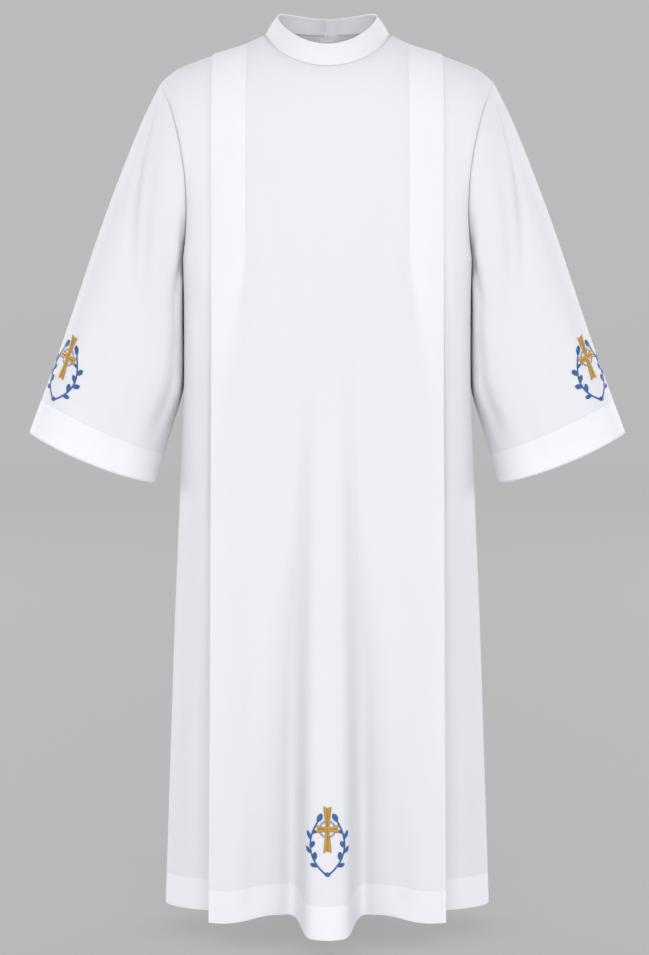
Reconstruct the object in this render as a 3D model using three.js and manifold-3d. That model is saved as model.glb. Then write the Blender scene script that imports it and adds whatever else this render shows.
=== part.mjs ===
// An alb: a long white liturgical robe with a stand collar, set-in sleeves, two stitched pleats on the
// front and two on the back, deep hems, and a small emblem embroidered above the front hem and above each
// cuff. It keeps the hollow form of a robe that is being worn. Lengths are in millimetres. +Z is up, +X is
// the wearer's left, the front faces -Y, and the origin is the middle of the neckline, level with the neck
// ends of the shoulder seams.
import * as THREE from "three";
import { TessellateModifier } from "three/addons/modifiers/TessellateModifier.js";
import { mergeVertices } from "three/addons/utils/BufferGeometryUtils.js";
import Module from "manifold-3d";

const wasm = await Module();
wasm.setup();

// ---- Driving dimensions ----
const CLOTH = 1.2; // wall of one layer of cloth
const HEM_CLOTH = 2.4; // wall where the hem is turned up
const COLLAR_CLOTH = 2.4; // stiffened double layer
const SEAM = 0.5; // gap between two pieces that are sewn together
const LAYER = 0.5; // gap between the layers of a pressed pleat
const HEM_Z = -1358; // bottom edge of the robe
const HEM_DEPTH = 50; // height of the turned-up hem
const NECK = { half: 95, centre: -13, deep: 76, front: -56, back: 10 }; // the neckline ring
const COLLAR_TOP = { half: 76.5, centre: -13, deep: 69, front: -23, side: 28, back: 34 };
const SHOULDER_END = { x: 256, z: -71 };
const UNDERARM = { x: 222, z: -345 };
const PLEAT = { edge: 176, fold: 123, lift: 2.4 }; // pressed edge, stitched fold, how late the face lifts
const SLEEVE_LIFT = 1.2; // how far the sleeve's first ring stands off the armhole edge
const SEAM_LIFT = 2 * (CLOTH + LAYER); // how far the pleat's bottom layer lies under its top one
const UNDERLAY_SAG = 0.45; // how far that layer has sunk half way across, 0.5 is straight

// Shoulder seam, from the neck out to the sleeve.
const SHOULDER = [
  { x: 95, z: 0 },
  { x: 130, z: -15 },
  { x: 171, z: -27 },
  { x: 205, z: -39.5 },
  { x: 233, z: -52 },
  { x: 256, z: -71 },
];

// Half-width of the robe at the side seam, and how square the cloth turns there from front to back: how
// far the curve runs straight on at the pleat (near) and straight out at the seam (far).
const SIDE = [
  { z: -1358, half: 257, near: 0.4, far: 0.55 },
  { z: -1195, half: 251, near: 0.4, far: 0.55 },
  { z: -1035, half: 245, near: 0.4, far: 0.56 },
  { z: -876, half: 238.5, near: 0.42, far: 0.58 },
  { z: -718, half: 231, near: 0.45, far: 0.62 },
  { z: -620, half: 226.5, near: 0.48, far: 0.66 },
  { z: -530, half: 222.5, near: 0.52, far: 0.7 },
  { z: -345, half: 222, near: 0.58, far: 0.78 },
];
const ARMHOLE_TURN_IN = { near: 0.42, far: 0.55 }; // the same, for the cloth that ends at the armhole

// How far the front and back stand out from the plane of the side seams. flat is the middle of the panel,
// corner what the pleat's edge adds to it, ridge the height of the soft fold, with its half-width and how
// boxy it is. tip is the thickness of the pleat's edge, part how far its inner fold has sunk, gap how far
// the side cloth has fallen back, and wide how much wider the panel has grown.
const FRONT = [
  { z: -1358, flat: 90, corner: 31, ridge: 81, half: 39, box: 11, tip: 7, part: 22, gap: 64, wide: 1.036 },
  { z: -1150, flat: 94, corner: 24, ridge: 60, half: 38.5, box: 10, tip: 7, part: 20, gap: 54, wide: 1.026 },
  { z: -950, flat: 99, corner: 16, ridge: 40, half: 37.5, box: 8, tip: 6, part: 16, gap: 41, wide: 1.017 },
  { z: -750, flat: 106, corner: 6, ridge: 20, half: 35, box: 6, tip: 5, part: 11, gap: 27, wide: 1.009 },
  { z: -560, flat: 114, corner: -6, ridge: 7, half: 31, box: 4, tip: 4, part: 7, gap: 13, wide: 1.003 },
  { z: -430, flat: 120, corner: -16, ridge: 1.5, half: 29, box: 3, tip: 3.4, part: 4.5, gap: 4, wide: 1 },
  { z: -320, flat: 123, corner: -22, ridge: 0, half: 28, box: 3, tip: 2.9, part: 2.9, gap: 0, wide: 1 },
  { z: -170, flat: 119, corner: -24, ridge: 0, half: 28, box: 3, tip: 2.9, part: 2.9, gap: 0, wide: 1 },
];
const BACK = [
  { z: -1358, flat: 106, corner: 22, ridge: 46, half: 33, box: 5, tip: 7, part: 18, gap: 52, wide: 1.036 },
  { z: -1150, flat: 105, corner: 16, ridge: 36, half: 32, box: 4.5, tip: 7, part: 16, gap: 43, wide: 1.026 },
  { z: -950, flat: 103, corner: 9, ridge: 24, half: 30, box: 4, tip: 6, part: 12, gap: 32, wide: 1.017 },
  { z: -750, flat: 101, corner: 0, ridge: 12, half: 28, box: 3.4, tip: 5, part: 8, gap: 20, wide: 1.009 },
  { z: -560, flat: 102, corner: -10, ridge: 4, half: 27, box: 3, tip: 4, part: 5, gap: 9, wide: 1.003 },
  { z: -430, flat: 104, corner: -16, ridge: 0.5, half: 26, box: 3, tip: 3.2, part: 3.6, gap: 3, wide: 1 },
  { z: -320, flat: 109, corner: -20, ridge: 0, half: 26, box: 3, tip: 2.9, part: 2.9, gap: 0, wide: 1 },
  { z: -170, flat: 110, corner: -22, ridge: 0, half: 26, box: 3, tip: 2.9, part: 2.9, gap: 0, wide: 1 },
];
const HEM_DROP = 13; // how much lower the hem hangs at the crest of a full-height soft fold
const CREST = 0.16; // how much the crest of a soft fold is rounded
const VALLEY = { share: 0.1, at: 1.42, width: 0.24 }; // hollow beside it, in its heights and half-widths

// The sleeve, ring by ring from the armhole to the cuff: its outer and inner edge seen from the front, how
// far it swells to the front and back, the trough that falls from the shoulder with the angle where it
// lies, and how far the ring sags between its edges.
const SLEEVE = [
  { outX: 256, outZ: -71, inX: 222, inZ: -345, front: 82, back: 86, trough: 0, at: 20, sag: 0 },
  { outX: 285, outZ: -128, inX: 225, inZ: -400, front: 77, back: 80, trough: 6, at: 38, sag: 0 },
  { outX: 323, outZ: -220, inX: 226, inZ: -452, front: 70, back: 72, trough: 8, at: 62, sag: 0 },
  { outX: 358, outZ: -313, inX: 227.5, inZ: -503, front: 64, back: 65, trough: 6, at: 82, sag: 0 },
  { outX: 392, outZ: -412, inX: 231, inZ: -550, front: 59, back: 60, trough: 3, at: 92, sag: 1 },
  { outX: 423, outZ: -500, inX: 242, inZ: -599, front: 55, back: 56, trough: 0, at: 95, sag: 3 },
  { outX: 446, outZ: -560, inX: 255, inZ: -645, front: 53, back: 54, trough: 0, at: 95, sag: 5 },
  { outX: 465.5, outZ: -611.5, inX: 269, inZ: -691, front: 52, back: 53, trough: 0, at: 95, sag: 7 },
];
const ARMHOLE_BOW = { front: 22, back: 14, fade: 1.6 }; // swing inwards, and the rings over which it fades
const SLEEVE_STEP = 15; // degrees between the lines that run down the sleeve
const RING_SQUARE = 0.9; // 1 is a true ellipse, less is squarer
const TROUGH_WIDTH = 26; // degrees
const SLEEVE_RINGS = [0, 1, 2, 3, 4, 5, 5.98, 6.02, 7]; // the last stretch is the cuff's turned-up hem

// Columns of a panel, from its middle out to the pleat's edge, as the distance from the middle.
const FRONT_X = [0, 17, 28, 34, 38, 42, 48, 58, 72, 87, 95, 123, 150, 168, 176];
const BACK_X = [SEAM / 2, 14, 30, 44, 56, 72, 87, 95, 106, 123, 150, 168, 176];
const BACK_RIDGE = { left: { at: 72, share: 1 }, right: { at: 66, share: 0.86 } };
const SIDE_STEPS = [0.25, 0.5, 0.75, 1]; // from the pleat's edge to the side seam
const SIDE_FALL = 0.11; // how fast the cloth beside the pleat starts to turn to the side
const HEM_STEP = 2; // rise over which the doubled cloth of a hem thins to one layer
const HEM_LEVELS = [HEM_Z, HEM_Z + HEM_DEPTH, HEM_Z + HEM_DEPTH + HEM_STEP];
const SKIRT_LEVELS = [-1150, -950, -750, -560, -430]; // from the hem up to the underarm
const ARMHOLE_TURNS = [180, 150, 135, 120, 105, 90, 75]; // degrees round the armhole up to the yoke
const YOKE_TURNS = [0, 18, 36, 54, 72, 90]; // degrees of the turn over the shoulder
const YOKE_ROUND = 1.12; // 1 is a true quarter of an ellipse, more is flatter
const NECK_SOFT = 44; // how widely the corner of the neckline is evened out at the foot of the yoke
const NECK_LEAN = 62; // degrees the cloth has turned where it meets the middle of the neckline

// The collar's ends at the middle of the back, in degrees round it: the right one, and the left one that
// starts to rise, lies flat over the right one, and stops.
const COLLAR_LAP = { from: -177, rise: 160, flat: 178, to: 194, off: COLLAR_CLOTH + LAYER + SEAM };

// The strip behind the back opening: its columns, its distance inside the panels' right side, how many
// levels it reaches below the yoke, and how far it stops short of the neckline.
const PLACKET = { columns: [13, 5, -5, -13], off: CLOTH + LAYER, levels: 2, short: 3 };
const BUTTON = { turn: 186, height: 0.5, off: 0.4, sides: 20 };
const BUTTON_PROFILE = [
  { r: 0, h: 0 },
  { r: 4.6, h: 0 },
  { r: 5.5, h: 0.7 },
  { r: 5.5, h: 1.5 },
  { r: 4.9, h: 2.2 },
  { r: 3.7, h: 1.8 },
  { r: 0, h: 1.8 },
];

// The embroidered emblem, flat, with u across and v up: a flared cross over a ring, between two leafy
// sprays tied at the foot. A leaf leans away from its stem by lean degrees and is widest at belly.
const CROSS = { v: 17, up: 35, down: 36, side: 18, root: 2.8, end: 6.4, notch: 2.6 };
const RING = { v: 17, inner: 10.5, outer: 13.6, sides: 24 };
const SPRAY = { foot: -52, width: 26.5, top: 27, bow: 0.8, steps: 8, stem: 1.5 };
const TIE = { half: 5, below: 3, middle: 1, above: 5 }; // from the foot of the sprays
const LEAF = { long: 15.5, half: 4.2, belly: 0.4, lean: 38 };
const LEAVES = [
  { at: 0.16, out: 1, size: 0.8 },
  { at: 0.26, out: -1, size: 0.9 },
  { at: 0.4, out: 1, size: 0.9 },
  { at: 0.5, out: -1, size: 0.8 },
  { at: 0.66, out: 1, size: 0.9 },
  { at: 0.78, out: -1, size: 0.55 },
  { at: 1, out: 0, size: 1 },
];
const THREADS = [
  { name: "ring", shape: ring, thick: 0.5, lift: 0.6, color: 0x8287a5 },
  { name: "wreath", shape: wreath, thick: 0.6, lift: 1, color: 0x14508c },
  { name: "cross", shape: cross, thick: 0.7, lift: 1.9, color: 0xb8861e },
];
const FACET = { edge: 6, splits: 6 }; // longest edge of the emblem's facets, and how often one is halved
const FRONT_EMBLEM = { above: 97 }; // height of its middle above the top of the hem
const SLEEVE_EMBLEM = { above: 66, round: 40 }; // above the cuff's hem, and round from the outer edge

const WHITE = 0xeceef4;
const ROUGH = { cloth: 0.85, thread: 0.6, button: 0.35 };

// ---- Helpers ----
const rad = THREE.MathUtils.degToRad;
const deg = THREE.MathUtils.radToDeg;
const mix = THREE.MathUtils.lerp;
const vec = (x, y, z) => new THREE.Vector3(x, y, z);

// Every named column of a table at one height or distance, on a smooth curve through the rows.
function rowAt(table, key, at) {
  const up = table[0][key] < table[table.length - 1][key] ? table : [...table].reverse();
  const t = THREE.MathUtils.clamp(at, up[0][key], up[up.length - 1][key]);
  let i = 0;
  while (i < up.length - 2 && t > up[i + 1][key]) i++;
  const [a, b] = [up[i], up[i + 1]];
  const before = up[Math.max(i - 1, 0)];
  const after = up[Math.min(i + 2, up.length - 1)];
  const span = b[key] - a[key];
  const s = (t - a[key]) / span;
  const out = {};
  for (const name of Object.keys(a)) {
    const slopeA = ((b[name] - before[name]) / (b[key] - before[key])) * span;
    const slopeB = ((after[name] - a[name]) / (after[key] - a[key])) * span;
    const rise = b[name] - a[name];
    const bend = s * s * (3 * rise - 2 * slopeA - slopeB) + s ** 3 * (slopeA + slopeB - 2 * rise);
    out[name] = a[name] + s * slopeA + bend;
  }
  return out;
}

function bezier(a, b, c, d, t) {
  const u = 1 - t;
  return a * u ** 3 + 3 * b * u * u * t + 3 * c * u * t * t + d * t ** 3;
}

// A wall of cloth from a grid of points on its right side, rows running up the piece and columns across
// it, seen from outside. thick(row) gives the wall, which goes inwards. A closed wall joins its last
// column to its first. Where joins(point, row) holds, the edge is cut square to Y, so that the piece
// behind can meet it.
function wall(grid, thick, { closed = false, joins = () => false } = {}) {
  const rows = grid.length;
  const columns = grid[0].length;
  const across = (i) => (closed ? (i + columns) % columns : THREE.MathUtils.clamp(i, 0, columns - 1));
  const outer = grid.flat();
  const inner = grid.flatMap((row, j) =>
    row.map((p, i) => {
      const along = grid[Math.min(j + 1, rows - 1)][i].clone().sub(grid[Math.max(j - 1, 0)][i]);
      const faces = [
        [across(i - 1), i],
        [i, across(i + 1)],
      ]
        .filter(([a, b]) => a !== b)
        .map(([a, b]) => row[b].clone().sub(row[a]).cross(along).normalize());
      const normal = faces.reduce((sum, n) => sum.add(n), vec(0, 0, 0));
      if (joins(p, j)) normal.y = 0;
      const miter = Math.max(normal.normalize().dot(faces[0]), 0.5);
      return p.clone().addScaledVector(normal, -thick(j) / miter);
    }),
  );
  const triangles = [];
  const quad = (a, b, c, d) => triangles.push(a, b, c, a, c, d);
  const n = rows * columns;
  const last = closed ? columns : columns - 1;
  for (let j = 0; j < rows - 1; j++)
    for (let i = 0; i < last; i++) {
      const [a, b] = [j * columns + i, j * columns + across(i + 1)];
      quad(a, b, b + columns, a + columns);
      quad(n + a, n + a + columns, n + b + columns, n + b);
    }
  for (let i = 0; i < last; i++) {
    const b = across(i + 1);
    const top = (rows - 1) * columns;
    quad(b, i, n + i, n + b);
    quad(top + i, top + b, n + top + b, n + top + i);
  }
  if (!closed)
    for (let j = 0; j < rows - 1; j++) {
      const [a, b] = [j * columns, j * columns + columns - 1];
      quad(a, a + columns, n + a + columns, n + a);
      quad(b + columns, b, n + b, n + b + columns);
    }
  const geometry = new THREE.BufferGeometry().setFromPoints([...outer, ...inner]);
  geometry.setIndex(triangles);
  geometry.computeVertexNormals();
  return geometry;
}

// The same grid on the wearer's right: mirrored, with its columns turned round so that it still faces out.
const mirrored = (grid) => grid.map((row) => row.map((p) => vec(-p.x, p.y, p.z)).reverse());

// ---- The robe's form ----
// A point of the neckline. turn is 0 at the middle of the front and 180 degrees at the middle of the back.
function neckline(turn) {
  const c = Math.cos(rad(turn));
  const tilt = (NECK.front - NECK.back) / 2;
  const dip = (NECK.front + NECK.back) / 2;
  return vec(NECK.half * Math.sin(rad(turn)), NECK.centre - NECK.deep * c, tilt * c + dip * c * c);
}

// A point of the armhole seam on the wearer's left. turn is 0 at the shoulder and 180 degrees under the
// arm; sign is -1 for the front half and 1 for the back half.
function armhole(turn, sign) {
  const [c, s] = [Math.cos(rad(turn)), Math.sin(rad(turn))];
  const bow = sign < 0 ? ARMHOLE_BOW.front : ARMHOLE_BOW.back;
  const swell = sign < 0 ? SLEEVE[0].front : SLEEVE[0].back;
  return vec(
    mix(UNDERARM.x, SHOULDER_END.x, (c + 1) / 2) - bow * s * s,
    sign * swell * s ** RING_SQUARE,
    mix(UNDERARM.z, SHOULDER_END.z, (c + 1) / 2),
  );
}
const ARMHOLE_LEVELS = ARMHOLE_TURNS.map((turn) => armhole(turn, 1).z);
const YOKE_Z = ARMHOLE_LEVELS[ARMHOLE_LEVELS.length - 1]; // above this the cloth rounds over the shoulder
const LEVELS = [...HEM_LEVELS, ...SKIRT_LEVELS, ...ARMHOLE_LEVELS];

// The outer edge of a panel at one height: the side seam, and above the underarm the armhole.
function sideEdge(z, sign) {
  const i = ARMHOLE_LEVELS.indexOf(z);
  if (i > 0) return armhole(ARMHOLE_TURNS[i], sign);
  return vec(rowAt(SIDE, "z", z).half, 0, z);
}

// The top edge of a panel above x: the neckline, and beyond it the shoulder seam.
function topEdge(x, sign) {
  if (x <= NECK.half) {
    const turn = deg(Math.asin(Math.min(x / NECK.half, 1)));
    return neckline(sign < 0 ? turn : 180 - turn);
  }
  const share = (x - NECK.half) / (SHOULDER_END.x - NECK.half);
  return vec(x, mix(NECK.centre, 0, share), rowAt(SHOULDER, "x", x).z);
}

// Height of the soft fold across a panel, as a share of its crest, with a hollow on either side of it.
function ridgeAt(x, row, ridge) {
  const off = Math.abs(x - ridge.at) / row.half;
  const hollow = VALLEY.share * Math.exp(-(((off - VALLEY.at) / VALLEY.width) ** 2));
  return ridge.share * (Math.max(1 - CREST * off * off, 0) / (1 + off ** row.box) - hollow);
}

// Depth of a panel's face at one height, out from the plane of the side seams.
const faceDepth = (x, row, ridge) =>
  row.flat + row.corner * (x / PLEAT.edge) ** PLEAT.lift + row.ridge * ridgeAt(x, row, ridge);

// A point of a panel's face and its outward direction. level is a height below the yoke, or null with a
// turn over the shoulder in degrees.
function face(x, level, turn, sign, table, ridge) {
  if (level !== null) {
    const row = rowAt(table, "z", level);
    const drop = HEM_DROP * (row.ridge / table[0].ridge) * Math.max(ridgeAt(x, row, ridge), 0);
    const point = vec(x * row.wide, sign * faceDepth(x, row, ridge), level - drop);
    return { point, out: vec(0, sign, 0) };
  }
  const from = vec(x, faceDepth(x, rowAt(table, "z", YOKE_Z), ridge) * sign, YOKE_Z);
  const soft = NECK_SOFT * (1 - turn / 90);
  const beside = topEdge(Math.abs(x - soft), sign).lerp(topEdge(x + soft, sign), 0.5);
  const to = topEdge(x, sign).lerp(beside, 0.5);
  return overShoulder(from, to.setX(x), turn, mix(NECK_LEAN, 90, Math.min(x / NECK.half, 1)) / 90, sign);
}

// The rounded path from the chest up to the shoulder seam or neckline. share cuts it short before it is
// level.
function overShoulder(from, to, turn, share, sign) {
  const at = (degrees) => ({
    rise: Math.sin(rad(degrees)) ** YOKE_ROUND,
    run: 1 - Math.max(Math.cos(rad(degrees)), 0) ** YOKE_ROUND,
  });
  const [now, end] = [at(turn * share), at(90 * share)];
  const point = vec(
    mix(from.x, to.x, now.run / end.run),
    mix(from.y, to.y, now.run / end.run),
    mix(from.z, to.z, now.rise / end.rise),
  );
  const lean = rad(turn * share);
  return { point, out: vec(0, sign * Math.cos(lean), Math.sin(lean)) };
}

// One row of a half panel on the wearer's left, from its middle round the pleat to its side edge.
function panelRow(columns, level, turn, sign, table, ridge) {
  const row = rowAt(table, "z", level ?? YOKE_Z);
  const middle = (PLEAT.edge + PLEAT.fold) / 2;
  const lifted = row.part + LAYER; // right side of the pleat's bottom layer at the inner fold
  const fallen = SEAM_LIFT + row.gap; // and where it comes out from under the edge
  const at = (x, offset) => {
    const { point, out } = face(x, level, turn, sign, table, ridge);
    return point.addScaledVector(out, -offset);
  };
  const start = at(PLEAT.edge, fallen);
  const points = [
    ...columns.map((x) => at(x, 0)),
    at(PLEAT.edge, row.tip),
    at(middle, mix(row.tip, row.part, 0.5)),
    at(PLEAT.fold, row.part),
    at(PLEAT.fold, lifted),
    at(middle, mix(lifted, fallen, UNDERLAY_SAG)),
    start,
  ];
  if (level !== null) {
    const end = sideEdge(level, sign);
    const reach = end.x - start.x;
    const { near, far } = level > UNDERARM.z ? ARMHOLE_TURN_IN : rowAt(SIDE, "z", level);
    const round = (g) =>
      vec(
        bezier(start.x, start.x + near * reach, end.x, end.x, g),
        bezier(start.y, start.y - sign * SIDE_FALL * reach, mix(end.y, start.y, far), end.y, g),
        level,
      );
    return [...points, ...SIDE_STEPS.map(round)];
  }
  const foot = panelRow(columns, YOKE_Z, null, sign, table, ridge).slice(-SIDE_STEPS.length);
  const path = (g, from) => {
    const to = topEdge(mix(PLEAT.edge, SHOULDER_END.x, g), sign);
    to.z -= SEAM_LIFT * (1 - g);
    return overShoulder(from, to, turn, 1, sign).point;
  };
  const seam = armhole(ARMHOLE_TURNS[ARMHOLE_TURNS.length - 1] * (1 - turn / 90), sign);
  const swing = seam.sub(path(1, foot[foot.length - 1]));
  return [...points, ...SIDE_STEPS.map((g, i) => path(g, foot[i]).addScaledVector(swing, g ** 3))];
}

// A half panel as a grid of points. Its outer edge and its top edge are drawn back by half a seam.
function halfPanel(columns, sign, table, ridge) {
  const grid = [
    ...LEVELS.map((z) => panelRow(columns, z, null, sign, table, ridge)),
    ...YOKE_TURNS.map((turn) => panelRow(columns, null, turn, sign, table, ridge)).slice(1),
  ];
  for (const row of grid) drawBack(row[row.length - 1], row[row.length - 2]);
  const [top, below] = [grid[grid.length - 1], grid[grid.length - 2]];
  top.forEach((p, i) => drawBack(p, below[i]));
  return grid;
}

function drawBack(point, from) {
  point.addScaledVector(from.clone().sub(point).normalize(), SEAM / 2);
}

const panelThick = (row) => (row < 2 ? HEM_CLOTH : CLOTH);

function frontPanel() {
  const left = halfPanel(FRONT_X, -1, FRONT, { at: 0, share: 1 });
  const right = mirrored(left);
  return left.map((row, j) => [...right[j].slice(0, -1), ...row]);
}

const backPanel = (ridge) => halfPanel(BACK_X, 1, BACK, ridge).map((row) => row.reverse());

// ---- Sleeves ----
// A point of the left sleeve. ring counts down the table, in fractions too; turn is 0 on the outer edge,
// 90 degrees on the front, 180 under the arm and 270 on the back.
const SLEEVE_TABLE = SLEEVE.map((row, ring) => ({ ring, ...row }));
function sleevePoint(ring, turn) {
  const row = rowAt(SLEEVE_TABLE, "ring", ring);
  const [c, s] = [Math.cos(rad(turn)), Math.sin(rad(turn))];
  const front = turn < 180;
  const away = (turn - row.at) / TROUGH_WIDTH;
  const sink = row.trough * Math.exp(-away * away);
  const bow = (front ? ARMHOLE_BOW.front : ARMHOLE_BOW.back) * Math.max(0, 1 - ring / ARMHOLE_BOW.fade) ** 2;
  const swell = Math.abs(s) ** RING_SQUARE;
  return vec(
    mix(row.inX, row.outX, (c + 1) / 2) - bow * s * s,
    front ? sink - row.front * swell : row.back * swell,
    mix(row.inZ, row.outZ, (c + 1) / 2) - row.sag * s * s,
  );
}

const sleeveTurns = Array.from({ length: 360 / SLEEVE_STEP }, (_, i) => i * SLEEVE_STEP).filter(
  (turn) => Math.abs(turn - 180) !== SLEEVE_STEP,
);
function sleeve() {
  const grid = SLEEVE_RINGS.map((ring) => sleeveTurns.map((turn) => sleevePoint(ring, turn)));
  grid[0].forEach((p, i) => p.addScaledVector(grid[1][i].clone().sub(p).normalize(), SLEEVE_LIFT));
  return grid;
}
const sleeveThick = (row) => (row > 6 ? HEM_CLOTH : CLOTH);

// ---- Collar ----
// A point of the collar's outside. turn is 0 at the middle of the front and 180 degrees at the middle of
// the back. height is 0 at the neckline and 1 at the top edge.
function collarPoint(turn, height) {
  const [c, s] = [Math.cos(rad(turn)), Math.sin(rad(turn))];
  const tilt = (COLLAR_TOP.front - COLLAR_TOP.back) / 2;
  const dip = (COLLAR_TOP.front + COLLAR_TOP.back) / 2 - COLLAR_TOP.side;
  const top = COLLAR_TOP.side + tilt * c + dip * c * c;
  const upper = vec(COLLAR_TOP.half * s, COLLAR_TOP.centre - COLLAR_TOP.deep * c, top);
  const lower = neckline(turn);
  const lap = THREE.MathUtils.smoothstep(turn, COLLAR_LAP.rise, COLLAR_LAP.flat) * COLLAR_LAP.off;
  return lower
    .clone()
    .lerp(upper, height)
    .addScaledVector(upper.sub(lower).normalize(), SEAM)
    .addScaledVector(vec(s, -c, 0), lap);
}

// The collar bends where the panels' columns meet it, so that the seam stays even.
const neckTurns = (columns) =>
  columns.filter((x) => x <= NECK.half).map((x) => deg(Math.asin(x / NECK.half)));
const frontTurns = neckTurns(FRONT_X);
const backTurns = neckTurns(BACK_X).map((turn) => 180 - turn);
const collarTurns = [
  COLLAR_LAP.from,
  ...backTurns.slice(1, -1).map((turn) => -turn),
  ...frontTurns.slice(1).map((turn) => -turn).reverse(),
  ...frontTurns,
  ...backTurns.slice(0, -1).reverse(),
  (COLLAR_LAP.flat + COLLAR_LAP.to) / 2,
  COLLAR_LAP.to,
];
const collar = () => [0, 0.5, 1].map((height) => collarTurns.map((turn) => collarPoint(turn, height)));

// ---- Back opening ----
// The strip that closes the opening from behind. It lies inside the two back panels.
function placket() {
  const ridge = BACK_RIDGE.left;
  const line = (x, level, turn) => {
    const { point, out } = face(Math.abs(x), level, turn, 1, BACK, ridge);
    point.addScaledVector(out, -PLACKET.off);
    return x < 0 ? point.setX(-point.x) : point;
  };
  const grid = [
    ...LEVELS.slice(-PLACKET.levels).map((z) => PLACKET.columns.map((x) => line(x, z, null))),
    ...YOKE_TURNS.slice(1).map((turn) => PLACKET.columns.map((x) => line(x, null, turn))),
  ];
  const [top, below] = [grid[grid.length - 1], grid[grid.length - 2]];
  top.forEach((p, i) => p.addScaledVector(below[i].clone().sub(p).normalize(), PLACKET.short));
  return grid;
}

function button() {
  const profile = BUTTON_PROFILE.map(({ r, h }) => new THREE.Vector2(r, h));
  const geometry = new THREE.LatheGeometry(profile, BUTTON.sides);
  const seat = collarPoint(BUTTON.turn, BUTTON.height);
  const across = collarPoint(BUTTON.turn + 1, BUTTON.height).sub(seat);
  const out = across.cross(collarPoint(BUTTON.turn, 1).sub(seat)).normalize();
  geometry.applyQuaternion(new THREE.Quaternion().setFromUnitVectors(vec(0, 1, 0), out));
  seat.addScaledVector(out, BUTTON.off);
  return geometry.translate(seat.x, seat.y, seat.z);
}

// ---- Embroidered emblem ----
// A flared cross over a ring, between two leafy sprays tied at the foot. Flat sizes: u runs across and v
// up. A flat plate of an outline, as a solid that others can be joined to.
function plate(outline, thick, hole) {
  const shape = new THREE.Shape(outline.map(([u, v]) => new THREE.Vector2(u, v)));
  if (hole) shape.holes.push(new THREE.Path(hole.map(([u, v]) => new THREE.Vector2(u, v))));
  const geometry = new THREE.ExtrudeGeometry(shape, { depth: thick, bevelEnabled: false });
  geometry.deleteAttribute("normal");
  geometry.deleteAttribute("uv");
  const merged = mergeVertices(geometry);
  return new wasm.Manifold(
    new wasm.Mesh({
      numProp: 3,
      vertProperties: merged.getAttribute("position").array,
      triVerts: new Uint32Array(merged.index.array),
    }),
  );
}
const joined = (solids) => solids.reduce((sum, solid) => sum.add(solid));

// An outline turned about its root, in degrees, and moved to a place.
function laid(outline, turn, [u, v]) {
  const [c, s] = [Math.cos(rad(turn)), Math.sin(rad(turn))];
  return outline.map(([x, y]) => [u + x * c - y * s, v + x * s + y * c]);
}

function cross(thick) {
  const arm = (length) => [
    [CROSS.root, 0],
    [CROSS.end, length],
    [0, length - CROSS.notch],
    [-CROSS.end, length],
    [-CROSS.root, 0],
    [0, -CROSS.root],
  ];
  const arms = [
    { turn: 0, length: CROSS.up },
    { turn: 90, length: CROSS.side },
    { turn: 180, length: CROSS.down },
    { turn: 270, length: CROSS.side },
  ];
  return joined(arms.map(({ turn, length }) => plate(laid(arm(length), turn, [0, CROSS.v]), thick)));
}

function ring(thick) {
  const circle = (radius) =>
    Array.from({ length: RING.sides }, (_, i) => {
      const turn = (2 * Math.PI * i) / RING.sides;
      return [radius * Math.cos(turn), RING.v + radius * Math.sin(turn)];
    });
  return plate(circle(RING.outer), thick, circle(RING.inner));
}

// A point of a spray's stem, from the foot up. It bows out to its side and back in.
const stemPoint = (t, side) => [
  side * SPRAY.width * Math.sin(Math.PI * SPRAY.bow * t ** SPRAY.bow),
  mix(SPRAY.foot, SPRAY.top, t),
];
function spray(side, thick) {
  const line = Array.from({ length: SPRAY.steps + 1 }, (_, i) => stemPoint(i / SPRAY.steps, side));
  const edge = (half) => line.map(([u, v]) => [u + half, v]);
  const stem = [...edge(SPRAY.stem), ...edge(-SPRAY.stem).reverse()];
  const leaves = LEAVES.map(({ at, out, size }) => {
    const [tip, back] = [stemPoint(at, side), stemPoint(at - 0.05, side)];
    const along = deg(Math.atan2(tip[1] - back[1], tip[0] - back[0])) - 90;
    const [long, half] = [LEAF.long * size, LEAF.half * size];
    const leaf = [
      [0, -SPRAY.stem],
      [half, LEAF.belly * long],
      [0, long],
      [-half, LEAF.belly * long],
    ];
    return laid(leaf, along - side * out * LEAF.lean, tip);
  });
  return joined([stem, ...leaves].map((outline) => plate(outline, thick)));
}
function wreath(thick) {
  const tie = [
    [0, SPRAY.foot - TIE.below],
    [TIE.half, SPRAY.foot + TIE.middle],
    [0, SPRAY.foot + TIE.above],
    [-TIE.half, SPRAY.foot + TIE.middle],
  ];
  return joined([spray(1, thick), spray(-1, thick), plate(tie, thick)]);
}

// The point of a grid's faces at a row and column, in fractions too.
function onGrid(grid, row, column) {
  const columns = grid[0].length;
  const j = THREE.MathUtils.clamp(Math.floor(row), 0, grid.length - 2);
  const i = Math.floor(column);
  const [f, g] = [row - j, column - i];
  const corner = (dj, di) => grid[j + dj][(i + di + columns) % columns];
  const [a, c] = [corner(0, 0), corner(1, 1)];
  const b = g > f ? corner(0, 1) : corner(1, 0);
  const p = a.clone();
  if (g > f) return p.addScaledVector(b.clone().sub(a), g).addScaledVector(c.clone().sub(b), f);
  return p.addScaledVector(b.clone().sub(a), f).addScaledVector(c.clone().sub(b), g);
}

// Where a walk of some length along a grid's row or column ends. at(step) is the point after that many
// cells.
function walk(at, from, length) {
  const way = Math.sign(length);
  let place = from;
  for (let left = Math.abs(length); left > 0; ) {
    const next = way > 0 ? Math.floor(place + 1) : Math.ceil(place - 1);
    const stretch = at(place).distanceTo(at(next));
    if (stretch >= left) return place + ((next - place) * left) / stretch;
    left -= stretch;
    place = next;
  }
  return place;
}

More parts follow.
